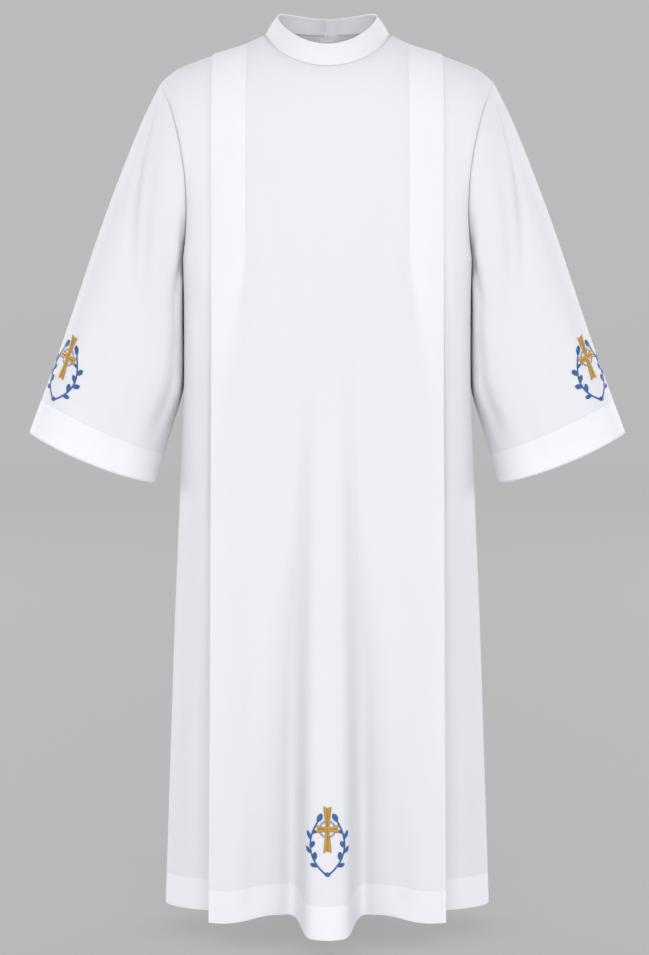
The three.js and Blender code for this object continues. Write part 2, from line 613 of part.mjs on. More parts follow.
// A flat plate made to follow a grid, standing lift above it. anchor is a row and column of the grid; up
// and way are 1 where its rows run towards +v and its columns towards +u, and -1 where they run against
// them.
function applied(solid, lift, { grid, anchor, up, way }) {
  const { vertProperties, triVerts } = solid.getMesh();
  const flat = new THREE.BufferGeometry();
  flat.setAttribute("position", new THREE.BufferAttribute(vertProperties, 3));
  flat.setIndex(new THREE.BufferAttribute(triVerts, 1));
  const fine = mergeVertices(new TessellateModifier(FACET.edge, FACET.splits).modify(flat));
  const place = fine.getAttribute("position");
  for (let i = 0; i < place.count; i++) {
    const [u, v, h] = [place.getX(i), place.getY(i), place.getZ(i)];
    const row = walk((r) => onGrid(grid, r, anchor.column), anchor.row, v * up);
    const column = walk((c) => onGrid(grid, row, c), anchor.column, u * way);
    const near = 0.25; // of a cell, either side
    const right = onGrid(grid, row, column + near).sub(onGrid(grid, row, column - near));
    const along = onGrid(grid, row + near, column).sub(onGrid(grid, row - near, column));
    const out = right.cross(along).multiplyScalar(way * up).normalize();
    place.setXYZ(i, ...onGrid(grid, row, column).addScaledVector(out, lift + h));
  }
  fine.computeVertexNormals();
  return fine;
}

// ---- The robe ----
const matte = (color, roughness) => new THREE.MeshStandardMaterial({ color, roughness, metalness: 0 });
const cloth = matte(WHITE, ROUGH.cloth);
const robe = new THREE.Group();
function add(name, geometry, material) {
  const mesh = new THREE.Mesh(geometry, material);
  mesh.name = name;
  robe.add(mesh);
}

const frontGrid = frontPanel();
const backLeftGrid = backPanel(BACK_RIDGE.left);
const backRightGrid = mirrored(backPanel(BACK_RIDGE.right));
const topRow = frontGrid.length - 1;
const joins = (p, row) => Math.abs(p.y) < SEAM || (row === topRow && Math.abs(p.x) > NECK.half - SEAM);
add("front", wall(frontGrid, panelThick, { joins }), cloth);
add("back_left", wall(backLeftGrid, panelThick, { joins }), cloth);
add("back_right", wall(backRightGrid, panelThick, { joins }), cloth);

const sleeveLeftGrid = sleeve();
const sleeveRightGrid = mirrored(sleeveLeftGrid);
add("sleeve_left", wall(sleeveLeftGrid, sleeveThick, { closed: true }), cloth);
add("sleeve_right", wall(sleeveRightGrid, sleeveThick, { closed: true }), cloth);

add("collar", wall(collar(), () => COLLAR_CLOTH), cloth);
add("back_placket", wall(placket(), () => CLOTH), cloth);
add("collar_button", button(), matte(WHITE, ROUGH.button));

const hemTop = HEM_LEVELS.length - 1;
const cuffTop = SLEEVE_RINGS.length - 3;
function frontAnchor() {
  const column = (frontGrid[0].length - 1) / 2;
  return { row: walk((r) => onGrid(frontGrid, r, column), hemTop, FRONT_EMBLEM.above), column };
}
// edge is the column that runs down the sleeve's outer edge, and round is -1 where columns run to the
// front backwards.
function sleeveAnchor(grid, edge, round) {
  const row = walk((r) => onGrid(grid, r, edge), cuffTop, -SLEEVE_EMBLEM.above);
  return { row, column: walk((c) => onGrid(grid, row, c), edge, round * SLEEVE_EMBLEM.round) };
}
const leftAnchor = sleeveAnchor(sleeveLeftGrid, 0, 1);
const rightAnchor = sleeveAnchor(sleeveRightGrid, sleeveTurns.length - 1, -1);
const EMBLEMS = [
  { place: "front", grid: frontGrid, anchor: frontAnchor(), up: 1, way: 1 },
  { place: "sleeve_left", grid: sleeveLeftGrid, anchor: leftAnchor, up: -1, way: -1 },
  { place: "sleeve_right", grid: sleeveRightGrid, anchor: rightAnchor, up: -1, way: -1 },
];
for (const emblem of EMBLEMS)
  for (const { name, shape, thick, lift, color } of THREADS)
    add(`motif_${emblem.place}_${name}`, applied(shape(thick), lift, emblem), matte(color, ROUGH.thread));

export default robe;
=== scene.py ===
import math

import bpy
import numpy as np
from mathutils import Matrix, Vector


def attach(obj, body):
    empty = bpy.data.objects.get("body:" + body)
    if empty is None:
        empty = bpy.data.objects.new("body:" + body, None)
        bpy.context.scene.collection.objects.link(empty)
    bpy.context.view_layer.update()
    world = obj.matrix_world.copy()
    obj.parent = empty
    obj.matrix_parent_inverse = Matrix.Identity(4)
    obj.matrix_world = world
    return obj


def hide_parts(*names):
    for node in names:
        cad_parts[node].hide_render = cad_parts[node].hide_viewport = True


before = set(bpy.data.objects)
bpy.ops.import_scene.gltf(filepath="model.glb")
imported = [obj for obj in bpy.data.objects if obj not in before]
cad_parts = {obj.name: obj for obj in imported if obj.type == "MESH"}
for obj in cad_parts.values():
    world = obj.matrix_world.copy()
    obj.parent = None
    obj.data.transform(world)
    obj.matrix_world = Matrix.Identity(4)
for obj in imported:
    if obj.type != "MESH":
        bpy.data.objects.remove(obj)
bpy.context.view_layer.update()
mm = 0.001
rng = np.random.default_rng(12)

# the robe's own sizes
cloth = {"thick": 0.7, "hem": 1.9, "hemDepth": 50, "hemZ": -1358, "waveFrom": 45, "hemDrop": 13}
neck = {"half": 95, "centre": -13, "deep": 76, "front": -56, "back": 10}
pleat = {
    "edge": 176,
    "fold": 123,
    "lift": 2.4,  # how late the panel lifts towards the pleat's edge
    "layer": 0.3,  # gap between two layers
    "under": 2.2,  # how far the bottom layer lies under the top one
    "sag": 0.2,
    "turn": 0.3,
    "stitchEnd": -312,
}
armholeForm = {"topX": 256, "topZ": -71, "lowX": 222, "lowZ": -345, "square": 0.9}
armholeSwell = {"front": 82, "back": 86, "bowFront": 22, "bowBack": 14}
yoke = {"turn": 75, "round": 1.12, "neckSoft": 44, "neckLean": 62}
softFold = {"crest": 0.16, "hollow": 0.1, "hollowAt": 1.42, "hollowWide": 0.24}

shoulderLine = {"x": (95, 130, 171, 205, 233, 256), "z": (0, -15, -27, -39.5, -52, -71)}
sideLine = {
    "z": (-1358, -1195, -1035, -876, -718, -620, -530, -345),
    "half": (257, 251, 245, 238.5, 231, 226.5, 222.5, 222),
    "near": (0.4, 0.4, 0.4, 0.43, 0.5, 0.58, 0.68, 0.72),  # how square the cloth turns at the pleat
    "far": (0.55, 0.55, 0.56, 0.59, 0.66, 0.74, 0.84, 0.88),  # and at the side seam
}


def mix(a, b, t):
    return a + (b - a) * t


def smooth(t):
    t = np.clip(t, 0, 1)
    return t * t * (3 - 2 * t)


def vec(x, y, z):
    return np.stack(np.broadcast_arrays(np.asarray(x, float), y, z), -1)


def unit(v):
    return v / np.maximum(np.linalg.norm(v, axis=-1, keepdims=True), 1e-9)


# every column of a table at some places, on a smooth curve through its rows
def tableAt(table, key, at):
    order = np.argsort(table[key])
    k = np.array(table[key], float)[order]
    t = np.clip(np.asarray(at, float), k[0], k[-1])
    i = np.clip(np.searchsorted(k, t, side="right") - 1, 0, len(k) - 2)
    before, after = np.maximum(i - 1, 0), np.minimum(i + 2, len(k) - 1)
    span = k[i + 1] - k[i]
    s = (t - k[i]) / span
    out = {}
    for name, values in table.items():
        v = np.array(values, float)[order]
        slopeA = (v[i + 1] - v[before]) / (k[i + 1] - k[before]) * span
        slopeB = (v[after] - v[i]) / (k[after] - k[i]) * span
        rise = v[i + 1] - v[i]
        bend = s * s * (3 * rise - 2 * slopeA - slopeB) + s**3 * (slopeA + slopeB - 2 * rise)
        out[name] = v[i] + s * slopeA + bend
    return out


# form of the robe: sign is -1 for the front and 1 for the back, turns are in degrees
def neckline(turn):
    c, s = np.cos(np.radians(turn)), np.sin(np.radians(turn))
    tilt, dip = (neck["front"] - neck["back"]) / 2, (neck["front"] + neck["back"]) / 2
    return vec(neck["half"] * s, neck["centre"] - neck["deep"] * c, tilt * c + dip * c * c)


def armhole(turn, sign):
    f = armholeForm
    c, s = np.cos(np.radians(turn)), np.abs(np.sin(np.radians(turn)))
    bow = armholeSwell["bowFront" if sign < 0 else "bowBack"]
    swell = armholeSwell["front" if sign < 0 else "back"]
    x = mix(f["lowX"], f["topX"], (c + 1) / 2) - bow * s * s
    return vec(x, sign * swell * s ** f["square"], mix(f["lowZ"], f["topZ"], (c + 1) / 2))


yokeZ = float(armhole(yoke["turn"], 1)[2])


def topEdge(x, sign):
    x = np.asarray(x, float)
    turn = np.degrees(np.arcsin(np.clip(x / neck["half"], 0, 1)))
    ring = neckline(turn if sign < 0 else 180 - turn)
    share = (x - neck["half"]) / (armholeForm["topX"] - neck["half"])
    seam = vec(x, mix(neck["centre"], 0, share), tableAt(shoulderLine, "x", x)["z"])
    return np.where((x <= neck["half"])[..., None], ring, seam)


def ridgeAt(x, row, ridge):
    f = softFold
    off = np.abs(x - ridge["at"]) / row["half"]
    hollow = f["hollow"] * np.exp(-(((off - f["hollowAt"]) / f["hollowWide"]) ** 2))
    return ridge["share"] * (np.maximum(1 - f["crest"] * off * off, 0) / (1 + off ** row["box"]) - hollow)


def overShoulder(start, end, turn, share, sign):
    def part(degrees):
        lean = np.radians(degrees)
        rise = np.sin(lean) ** yoke["round"]
        return rise, 1 - np.maximum(np.cos(lean), 0) ** yoke["round"]

    (riseNow, runNow), (riseEnd, runEnd) = part(turn * share), part(90 * share)
    rise, run = riseNow / riseEnd, runNow / runEnd
    point = vec(*[mix(start[..., i], end[..., i], (run, run, rise)[i]) for i in range(3)])
    lean = np.radians(turn * share)
    return point, vec(0 * lean, sign * np.cos(lean), np.sin(lean))


# points of a panel's face and their outward direction, at a height or at a turn over the shoulder
def face(x, level, turn, sign, form, ridge):
    row = tableAt(form, "z", yokeZ if level is None else level)
    corner = row["corner"] * (x / pleat["edge"]) ** pleat["lift"]
    depth = row["flat"] + corner + row["ridge"] * ridgeAt(x, row, ridge)
    if level is not None:
        drop = cloth["hemDrop"] * row["ridge"] / form["ridge"][0] * np.maximum(ridgeAt(x, row, ridge), 0)
        swing = np.clip((x - cloth["waveFrom"]) / (pleat["edge"] - cloth["waveFrom"]), 0, 1)
        drop = drop - row["wave"] * np.sin(2 * np.pi * swing)
        return vec(x * row["wide"], sign * depth, level - drop), vec(0 * x, sign, 0)
    soft = yoke["neckSoft"] * (1 - turn / 90)
    beside = (topEdge(np.abs(x - soft), sign) + topEdge(x + soft, sign)) / 2
    end = (topEdge(x, sign) + beside) / 2
    end[..., 0] = x
    lean = mix(yoke["neckLean"], 90, np.minimum(x / neck["half"], 1)) / 90
    return overShoulder(vec(x, sign * depth, yokeZ), end, turn, lean, sign)


sideSteps = np.linspace(0, 1, 17)[1:]
underSpan = (75 / (armholeForm["topZ"] - armholeForm["lowZ"])) * 2 - 1
swellAt = {sign: float(armhole(math.degrees(math.acos(underSpan)), sign)[1]) for sign in (-1, 1)}
foldArc = np.radians(np.linspace(-90, 90, 7))


# one row of a half panel on the wearer's left: face, edge of the pleat, its two hidden layers, and the side
def panelRow(columns, level, turn, sign, form, ridge):
    row = tableAt(form, "z", yokeZ if level is None else level)
    lifted, fallen = row["part"] + pleat["layer"], pleat["under"] + row["gap"]
    bend = row["tip"] / 2
    back = np.linspace(0, 1, 7)[1:]
    edgeX = pleat["edge"] - bend + bend * np.cos(foldArc)
    x = [columns, edgeX, mix(pleat["edge"] - bend, pleat["fold"], back), [pleat["fold"] - pleat["turn"]]]
    off = [0 * columns, bend + bend * np.sin(foldArc), mix(row["tip"], row["part"], back)]
    off.append([(row["part"] + lifted) / 2])
    out = np.linspace(0, 1, 9)
    x.append(mix(pleat["fold"], pleat["edge"], out))
    off.append(mix(lifted, fallen, out - pleat["sag"] * out * (1 - out)))
    x, off = np.concatenate(x), np.concatenate(off)
    point, way = face(x, level, turn, sign, form, ridge)
    point = point - way * off[:, None]
    if level is not None:
        start = point[-1]
        above = level > armholeForm["lowZ"]
        if above:
            span = armholeForm["topZ"] - armholeForm["lowZ"]
            at = np.degrees(np.arccos(np.clip(2 * (level - armholeForm["lowZ"]) / span - 1, -1, 1)))
            end = armhole(at, sign)
            side = tableAt(sideLine, "z", armholeForm["lowZ"])
            turned = smooth((level - armholeForm["lowZ"]) / 70)
            near, far = mix(side["near"], 0.42, turned), mix(side["far"], 0.55, turned)
        else:
            side = tableAt(sideLine, "z", level)
            end = np.array([side["half"], 0, level])
            near, far = side["near"], side["far"]
        reach = end[0] - start[0]
        g, h = sideSteps, 1 - sideSteps

        def curve(a, b, c, d):
            return a * h**3 + 3 * b * h * h * g + 3 * c * h * g * g + d * g**3

        # the cloth beside the underarm swells out gently, and only its edge follows the armhole
        reached = (level - armholeForm["lowZ"] + 75) / 150
        eased = swellAt[sign] * smooth(reached) if reached < 1 else end[1]
        sx = curve(start[0], start[0] + near * reach, end[0], end[0])
        sy = curve(start[1], start[1] - sign * 0.11 * reach, mix(eased, start[1], far), eased)
        sy += (end[1] - eased) * g**9
        return np.vstack([point, vec(sx, sy, level)])
    foot = panelRow(columns, yokeZ, None, sign, form, ridge)[-len(sideSteps):]
    end = topEdge(mix(pleat["edge"], armholeForm["topX"], sideSteps), sign)
    end[:, 2] -= pleat["under"] * (1 - sideSteps)
    path = overShoulder(foot, end, turn, np.ones(len(sideSteps)), sign)[0]
    swing = armhole(yoke["turn"] * (1 - turn / 90), sign) - path[-1]
    return np.vstack([point, path + swing * sideSteps[:, None] ** 3])


hemRows = np.array([0, 1, 2.5, 5, 10, 16, 22, 28, 34, 40, 45, 47.5, 49, 50, 51, 52.5, 55, 60])
skirtRows = np.linspace(cloth["hemZ"] + 66, armholeForm["lowZ"] - 4, 116)
armRows = armhole(np.array([180, 174, 168] + list(range(165, 74, -3))), 1)[:, 2]
levels = np.concatenate([cloth["hemZ"] + hemRows, skirtRows, armRows])
yokeTurns = np.linspace(0, 90, 26)[1:]


def halfPanel(columns, sign, form, ridge):
    rows = [panelRow(columns, z, None, sign, form, ridge) for z in levels]
    rows += [panelRow(columns, None, t, sign, form, ridge) for t in yokeTurns]
    return np.array(rows)


# depth of the soft creases: each runs from one place on the piece to another, and its depth is inwards
def creaseDepth(a, b, creases, wobble):
    total = np.zeros_like(a)
    for c in creases:
        (a0, b0), (a1, b1) = c["from"], c["to"]
        da, db = a1 - a0, b1 - b0
        along = ((a - a0) * da + (b - b0) * db) / (da * da + db * db)
        bow = c.get("bow", 0) * np.sin(np.pi * np.clip(along, 0, 1))
        across = ((a - a0) * db - (b - b0) * da) / math.hypot(da, db) + bow
        wide = c["wide"] * (1 + wobble * np.sin(along * 5 + a0))
        fade = smooth(along / c.get("starts", 0.3)) * smooth((1 - along) / c.get("ends", 0.5))
        near = (across / wide) ** 2
        total += c["depth"] * fade * (np.exp(-near) - 0.45 * np.exp(-((np.abs(across) / wide - 1.9) ** 2)))
    return total




# a narrow dip where a line of stitches pulls the cloth in
def stitchDip(distance, depth=0.35, wide=1.6):
    return depth * np.exp(-((distance / wide) ** 2))


# every layer at one place moves together, so that the pleat's layers stay clear of each other
def drape(grid, sign, creases):
    x, z = grid[..., 0], grid[..., 2]
    calm = smooth((-90 - z) / 80)
    grid[..., 1] -= sign * creaseDepth(x, z, creases, 0.15) * calm
    return grid


def gridNormals(grid, closed=False):
    along = np.gradient(grid, axis=0)
    if closed:
        across = (np.roll(grid, -1, axis=1) - np.roll(grid, 1, axis=1)) / 2
    else:
        across = np.gradient(grid, axis=1)
    return unit(np.cross(across, along))


print("form functions ready")


def makeObject(name, verts, faces, material, uvs=None, flatFrom=None, double=None):
    mesh = bpy.data.meshes.new(name)
    mesh.from_pydata((np.asarray(verts) * mm).tolist(), [], faces)
    smoothFaces = np.ones(len(mesh.polygons), bool)
    if flatFrom is not None:
        smoothFaces[flatFrom:] = False
    mesh.polygons.foreach_set("use_smooth", smoothFaces)
    if uvs is not None:
        index = np.empty(len(mesh.loops), int)
        mesh.loops.foreach_get("vertex_index", index)
        layer = mesh.uv_layers.new(name="flat")
        layer.data.foreach_set("uv", (np.asarray(uvs)[index] * mm).ravel())
    # a per-point mask of painted light: where it is 1 the cloth is coloured lighter, as doubled cloth looks
    if double is not None:
        attribute = mesh.attributes.new("double", "FLOAT", "POINT")
        attribute.data.foreach_set("value", np.asarray(double, float))
    mesh.materials.append(material)
    mesh.update()
    piece = bpy.data.objects.new(name, mesh)
    bpy.context.scene.collection.objects.link(piece)
    return piece


# lengths along the cloth, across and up, for the weave to follow
def flatLengths(grid, middle):
    steps = np.linalg.norm(np.diff(grid, axis=1), axis=2)
    across = np.concatenate([np.zeros((len(grid), 1)), np.cumsum(steps, axis=1)], axis=1)
    across -= across[:, middle : middle + 1]
    rise = np.concatenate([[0], np.cumsum(np.linalg.norm(np.diff(grid[:, middle], axis=0), axis=1))])
    return np.stack([across, np.broadcast_to(rise[:, None], across.shape)], -1)


# a thin wall of cloth on a grid of its right side, rows going up and columns across as seen from outside
def shell(name, grid, thick, material, closed=False, middle=0, double=None):
    rows, columns = grid.shape[:2]
    normals = gridNormals(grid, closed)
    inner = grid - normals * np.broadcast_to(thick, (rows,))[:, None, None]
    verts = np.concatenate([grid.reshape(-1, 3), inner.reshape(-1, 3)])
    index = np.arange(rows * columns).reshape(rows, columns)
    if closed:
        index = np.concatenate([index, index[:, :1]], axis=1)
    a, b, c, d = index[:-1, :-1], index[:-1, 1:], index[1:, 1:], index[1:, :-1]
    outer = np.stack([a, b, c, d], -1).reshape(-1, 4)
    n = rows * columns
    faces = [outer, outer[:, ::-1] + n]
    low, top = index[0], index[-1]
    faces.append(np.stack([low[1:], low[:-1], low[:-1] + n, low[1:] + n], -1))
    faces.append(np.stack([top[:-1], top[1:], top[1:] + n, top[:-1] + n], -1))
    if not closed:
        left, right = index[:, 0], index[:, -1]
        faces.append(np.stack([left[:-1], left[1:], left[1:] + n, left[:-1] + n], -1))
        faces.append(np.stack([right[1:], right[:-1], right[:-1] + n, right[1:] + n], -1))
    lengths = flatLengths(grid, middle).reshape(-1, 2)
    uvs = np.concatenate([lengths, lengths * [-1, 1]])
    # the mask of painted light, lighter where layers lie doubled, is the same on both walls
    layerLightShare = np.zeros((rows, columns)) if double is None else np.broadcast_to(double, (rows, columns))
    double = np.tile(layerLightShare.ravel(), 2)
    piece = makeObject(name, verts, np.concatenate(faces).tolist(), material, uvs, 2 * len(outer), double)
    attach(piece, "root")
    return piece


def newGroup(name, inputs, outputs):
    group = bpy.data.node_groups.new(name, "ShaderNodeTree")
    for label, kind, value in inputs:
        socket = group.interface.new_socket(label, in_out="INPUT", socket_type=kind)
        if value is not None:
            socket.default_value = value
    for label, kind in outputs:
        group.interface.new_socket(label, in_out="OUTPUT", socket_type=kind)
    return group, group.nodes.new("NodeGroupInput"), group.nodes.new("NodeGroupOutput")


def addNode(tree, kind, place=(0, 0), **settings):
    made = tree.nodes.new(kind)
    made.location = place
    for key, value in settings.items():
        setattr(made, key, value)
    return made


def useGroup(tree, group, place=(0, 0)):
    made = addNode(tree, "ShaderNodeGroup", place)
    made.node_tree = group
    return made


def mathNode(tree, operation, a, b, place=(0, 0)):
    made = addNode(tree, "ShaderNodeMath", place, operation=operation)
    for socket, value in zip(made.inputs, (a, b)):
        if isinstance(value, (int, float)):
            socket.default_value = value
        else:
            tree.links.new(value, socket)
    return made.outputs[0]


# diagonal twill lines with yarns crossing them, from lengths along the cloth
def twillGroup():
    group, given, out = newGroup(
        "twill weave",
        [("Lengths", "NodeSocketVector", None), ("Lines Per Metre", "NodeSocketFloat", 1400.0)],
        [("Height", "NodeSocketFloat"), ("Yarn Tone", "NodeSocketFloat")],
    )
    link = group.links.new
    lines = addNode(group, "ShaderNodeTexWave", (-300, 200), wave_type="BANDS", bands_direction="DIAGONAL")
    lines.inputs["Distortion"].default_value = 0.6
    lines.inputs["Detail"].default_value = 1.0
    yarns = addNode(group, "ShaderNodeTexWave", (-300, -100), wave_type="BANDS", bands_direction="X")
    yarns.inputs["Distortion"].default_value = 0.4
    slub = addNode(group, "ShaderNodeTexNoise", (-300, -400))
    slub.inputs["Scale"].default_value = 900.0
    slub.inputs["Detail"].default_value = 3.0
    for wave, share in ((lines, 0.16), (yarns, 0.32)):
        link(given.outputs["Lengths"], wave.inputs["Vector"])
        scale = mathNode(group, "MULTIPLY", given.outputs["Lines Per Metre"], share, (-500, 0))
        link(scale, wave.inputs["Scale"])
    link(given.outputs["Lengths"], slub.inputs["Vector"])
    raised = mathNode(group, "MULTIPLY_ADD", yarns.outputs["Fac"], 0.35, (0, 100))
    link(lines.outputs["Fac"], raised.node.inputs[2])
    rough = mathNode(group, "MULTIPLY_ADD", slub.outputs["Fac"], 0.5, (150, 0))
    link(raised, rough.node.inputs[2])
    link(rough, out.inputs["Height"])
    link(slub.outputs["Fac"], out.inputs["Yarn Tone"])
    return group


# broad soft patches, from 0 to 1
def patchGroup():
    group, given, out = newGroup(
        "soft patches",
        [("Place", "NodeSocketVector", None), ("Size", "NodeSocketFloat", 4.0)],
        [("Mask", "NodeSocketFloat")],
    )
    noise = addNode(group, "ShaderNodeTexNoise", (-200, 0))
    noise.inputs["Detail"].default_value = 4.0
    group.links.new(given.outputs["Place"], noise.inputs["Vector"])
    group.links.new(given.outputs["Size"], noise.inputs["Scale"])
    ramp = addNode(group, "ShaderNodeMapRange", (0, 0))
    ramp.inputs["From Min"].default_value = 0.3
    ramp.inputs["From Max"].default_value = 0.7
    group.links.new(noise.outputs["Fac"], ramp.inputs["Value"])
    group.links.new(ramp.outputs["Result"], out.inputs["Mask"])
    return group


# fine filaments twisted along a thread
def strandGroup():
    group, given, out = newGroup(
        "thread strands",
        [("Lengths", "NodeSocketVector", None), ("Twists", "NodeSocketFloat", 900.0)],
        [("Height", "NodeSocketFloat"), ("Tone", "NodeSocketFloat")],
    )
    wave = addNode(group, "ShaderNodeTexWave", (-300, 100), wave_type="BANDS", bands_direction="DIAGONAL")
    wave.inputs["Distortion"].default_value = 1.2
    noise = addNode(group, "ShaderNodeTexNoise", (-300, -200))
    noise.inputs["Scale"].default_value = 260.0
    group.links.new(given.outputs["Lengths"], wave.inputs["Vector"])
    group.links.new(given.outputs["Twists"], wave.inputs["Scale"])
    group.links.new(given.outputs["Lengths"], noise.inputs["Vector"])
    group.links.new(wave.outputs["Fac"], out.inputs["Height"])
    tone = mathNode(group, "MULTIPLY", wave.outputs["Fac"], noise.outputs["Fac"])
    group.links.new(tone, out.inputs["Tone"])
    return group


twill, patches, strands = twillGroup(), patchGroup(), strandGroup()


def startMaterial(name):
    material = bpy.data.materials.new(name)
    material.use_nodes = True
    tree = material.node_tree
    shader = tree.nodes["Principled BSDF"]
    return material, tree, shader


def colourMix(tree, fac, a, b, place=(0, 0)):
    made = addNode(tree, "ShaderNodeMix", place, data_type="RGBA")
    for socket, value in ((made.inputs["Factor"], fac), (made.inputs[6], a), (made.inputs[7], b)):
        if isinstance(value, tuple):
            socket.default_value = (*value, 1)
        elif isinstance(value, (int, float)):
            socket.default_value = value
        else:
            tree.links.new(value, socket)
    return made.outputs[2]


def rangeOf(tree, value, low, high, place=(0, 0)):
    made = addNode(tree, "ShaderNodeMapRange", place)
    made.inputs["To Min"].default_value = low
    made.inputs["To Max"].default_value = high
    tree.links.new(value, made.inputs["Value"])
    return made.outputs["Result"]


# the tone for doubled cloth is painted light: the cloth is coloured lighter where layers lie doubled,
# standing in for the light that a single layer lets through; the single tone is the cloth's own
clothLook = {
    "single": (0.815, 0.815, 0.85),
    "doubled": (0.88, 0.885, 0.915),
    "shaded": (0.75, 0.755, 0.81),
    "sheen": 0.18,
    "throughLight": 0.22,
    "weaveDepth": 0.00012,
    "crumpleDepth": 0.0016,
}


def clothMaterial(name, look):
    material, tree, shader = startMaterial(name)
    link = tree.links.new
    place = addNode(tree, "ShaderNodeTexCoord", (-1300, 0))
    weave = useGroup(tree, twill, (-900, 200))
    link(place.outputs["UV"], weave.inputs["Lengths"])
    patch = useGroup(tree, patches, (-900, -100))
    link(place.outputs["Object"], patch.inputs["Place"])
    patch.inputs["Size"].default_value = 5.0
    # painted light: the base colour is lightened towards the doubled tone by the mesh's mask of doubled
    # cloth
    layerLightShare = addNode(tree, "ShaderNodeAttribute", (-900, 500), attribute_name="double")
    base = colourMix(tree, layerLightShare.outputs["Fac"], look["single"], look["doubled"], (-600, 400))
    tone = rangeOf(tree, patch.outputs["Mask"], 0.0, 0.12, (-600, 100))
    base = colourMix(tree, tone, base, look["shaded"], (-400, 300))
    yarn = rangeOf(tree, weave.outputs["Yarn Tone"], 0.0, 0.14, (-600, -50))
    base = colourMix(tree, yarn, base, look["shaded"], (-200, 300))
    link(base, shader.inputs["Base Color"])
    link(rangeOf(tree, patch.outputs["Mask"], 0.68, 0.82, (-400, 0)), shader.inputs["Roughness"])
    shader.inputs["Specular IOR Level"].default_value = 0.25
    shader.inputs["Sheen Weight"].default_value = look["sheen"]
    shader.inputs["Sheen Roughness"].default_value = 0.45
    crumple = addNode(tree, "ShaderNodeTexNoise", (-900, -400))
    crumple.inputs["Scale"].default_value = 13.0
    crumple.inputs["Detail"].default_value = 3.0
    crumple.inputs["Distortion"].default_value = 0.4
    link(place.outputs["Object"], crumple.inputs["Vector"])
    soft = addNode(tree, "ShaderNodeBump", (-500, -400))
    soft.inputs["Strength"].default_value = 0.5
    soft.inputs["Distance"].default_value = look["crumpleDepth"]
    link(crumple.outputs["Fac"], soft.inputs["Height"])
    fine = addNode(tree, "ShaderNodeBump", (-250, -300))
    fine.inputs["Strength"].default_value = 0.6
    fine.inputs["Distance"].default_value = look["weaveDepth"]
    link(weave.outputs["Height"], fine.inputs["Height"])
    link(soft.outputs["Normal"], fine.inputs["Normal"])
    link(fine.outputs["Normal"], shader.inputs["Normal"])
    through = addNode(tree, "ShaderNodeBsdfTranslucent", (0, -300))
    link(base, through.inputs["Color"])
    blend = addNode(tree, "ShaderNodeMixShader", (250, 0))
    blend.inputs["Fac"].default_value = look["throughLight"]
    link(shader.outputs[0], blend.inputs[1])
    link(through.outputs[0], blend.inputs[2])
    link(blend.outputs[0], tree.nodes["Material Output"].inputs["Surface"])
    return material


threadLook = {
    "white": {
        "light": (0.86, 0.87, 0.9),
        "dark": (0.72, 0.74, 0.79),
        "rough": (0.45, 0.6),
        "sheen": 0.1,
        "metal": 0.0,
    },
    "gold": {
        "light": (0.62, 0.36, 0.055),
        "dark": (0.3, 0.14, 0.012),
        "rough": (0.3, 0.5),
        "sheen": 0.1,
        "metal": 0.25,
    },
    "blue": {
        "light": (0.022, 0.14, 0.38),
        "dark": (0.004, 0.04, 0.16),
        "rough": (0.32, 0.5),
        "sheen": 0.15,
        "metal": 0.0,
    },
    "silver": {
        "light": (0.36, 0.39, 0.53),
        "dark": (0.17, 0.19, 0.31),
        "rough": (0.3, 0.48),
        "sheen": 0.1,
        "metal": 0.2,
    },
}


def threadMaterial(name, look):
    material, tree, shader = startMaterial(name)
    link = tree.links.new
    place = addNode(tree, "ShaderNodeTexCoord", (-1100, 0))
    strand = useGroup(tree, strands, (-800, 100))
    link(place.outputs["UV"], strand.inputs["Lengths"])
    patch = useGroup(tree, patches, (-800, -200))
    link(place.outputs["Object"], patch.inputs["Place"])
    patch.inputs["Size"].default_value = 160.0
    base = colourMix(tree, strand.outputs["Tone"], look["light"], look["dark"], (-400, 200))
    shade = rangeOf(tree, patch.outputs["Mask"], 0.0, 0.45, (-500, -100))
    link(colourMix(tree, shade, base, look["dark"], (-200, 200)), shader.inputs["Base Color"])
    link(rangeOf(tree, patch.outputs["Mask"], *look["rough"], (-300, -100)), shader.inputs["Roughness"])
    shader.inputs["Metallic"].default_value = look["metal"]
    shader.inputs["Sheen Weight"].default_value = look["sheen"]
    shader.inputs["Anisotropic"].default_value = 0.4
    bump = addNode(tree, "ShaderNodeBump", (-300, -350))
    bump.inputs["Strength"].default_value = 0.5
    bump.inputs["Distance"].default_value = 0.00008
    link(strand.outputs["Height"], bump.inputs["Height"])
    link(bump.outputs["Normal"], shader.inputs["Normal"])
    return material


def buttonMaterial():
    material, tree, shader = startMaterial("polished white button")
    link = tree.links.new
    place = addNode(tree, "ShaderNodeTexCoord", (-900, 0))
    patch = useGroup(tree, patches, (-600, 0))
    link(place.outputs["Object"], patch.inputs["Place"])
    patch.inputs["Size"].default_value = 320.0
    base = colourMix(tree, patch.outputs["Mask"], (0.86, 0.86, 0.85), (0.78, 0.78, 0.79), (-300, 100))
    link(base, shader.inputs["Base Color"])
    link(rangeOf(tree, patch.outputs["Mask"], 0.16, 0.3, (-300, -100)), shader.inputs["Roughness"])
    shader.inputs["Coat Weight"].default_value = 0.4
    shader.inputs["Coat Roughness"].default_value = 0.12
    bump = addNode(tree, "ShaderNodeBump", (-300, -300))
    bump.inputs["Strength"].default_value = 0.15
    bump.inputs["Distance"].default_value = 0.0001
    link(patch.outputs["Mask"], bump.inputs["Height"])
    link(bump.outputs["Normal"], shader.inputs["Normal"])
    return material


whiteCloth = clothMaterial("white gabardine", clothLook)
whiteThread = threadMaterial("white thread", threadLook["white"])
embroideryThreads = {
    "cross": threadMaterial("gold embroidery thread", threadLook["gold"]),
    "wreath": threadMaterial("blue embroidery thread", threadLook["blue"]),
    "ring": threadMaterial("silver embroidery thread", threadLook["silver"]),
}
print("materials ready")


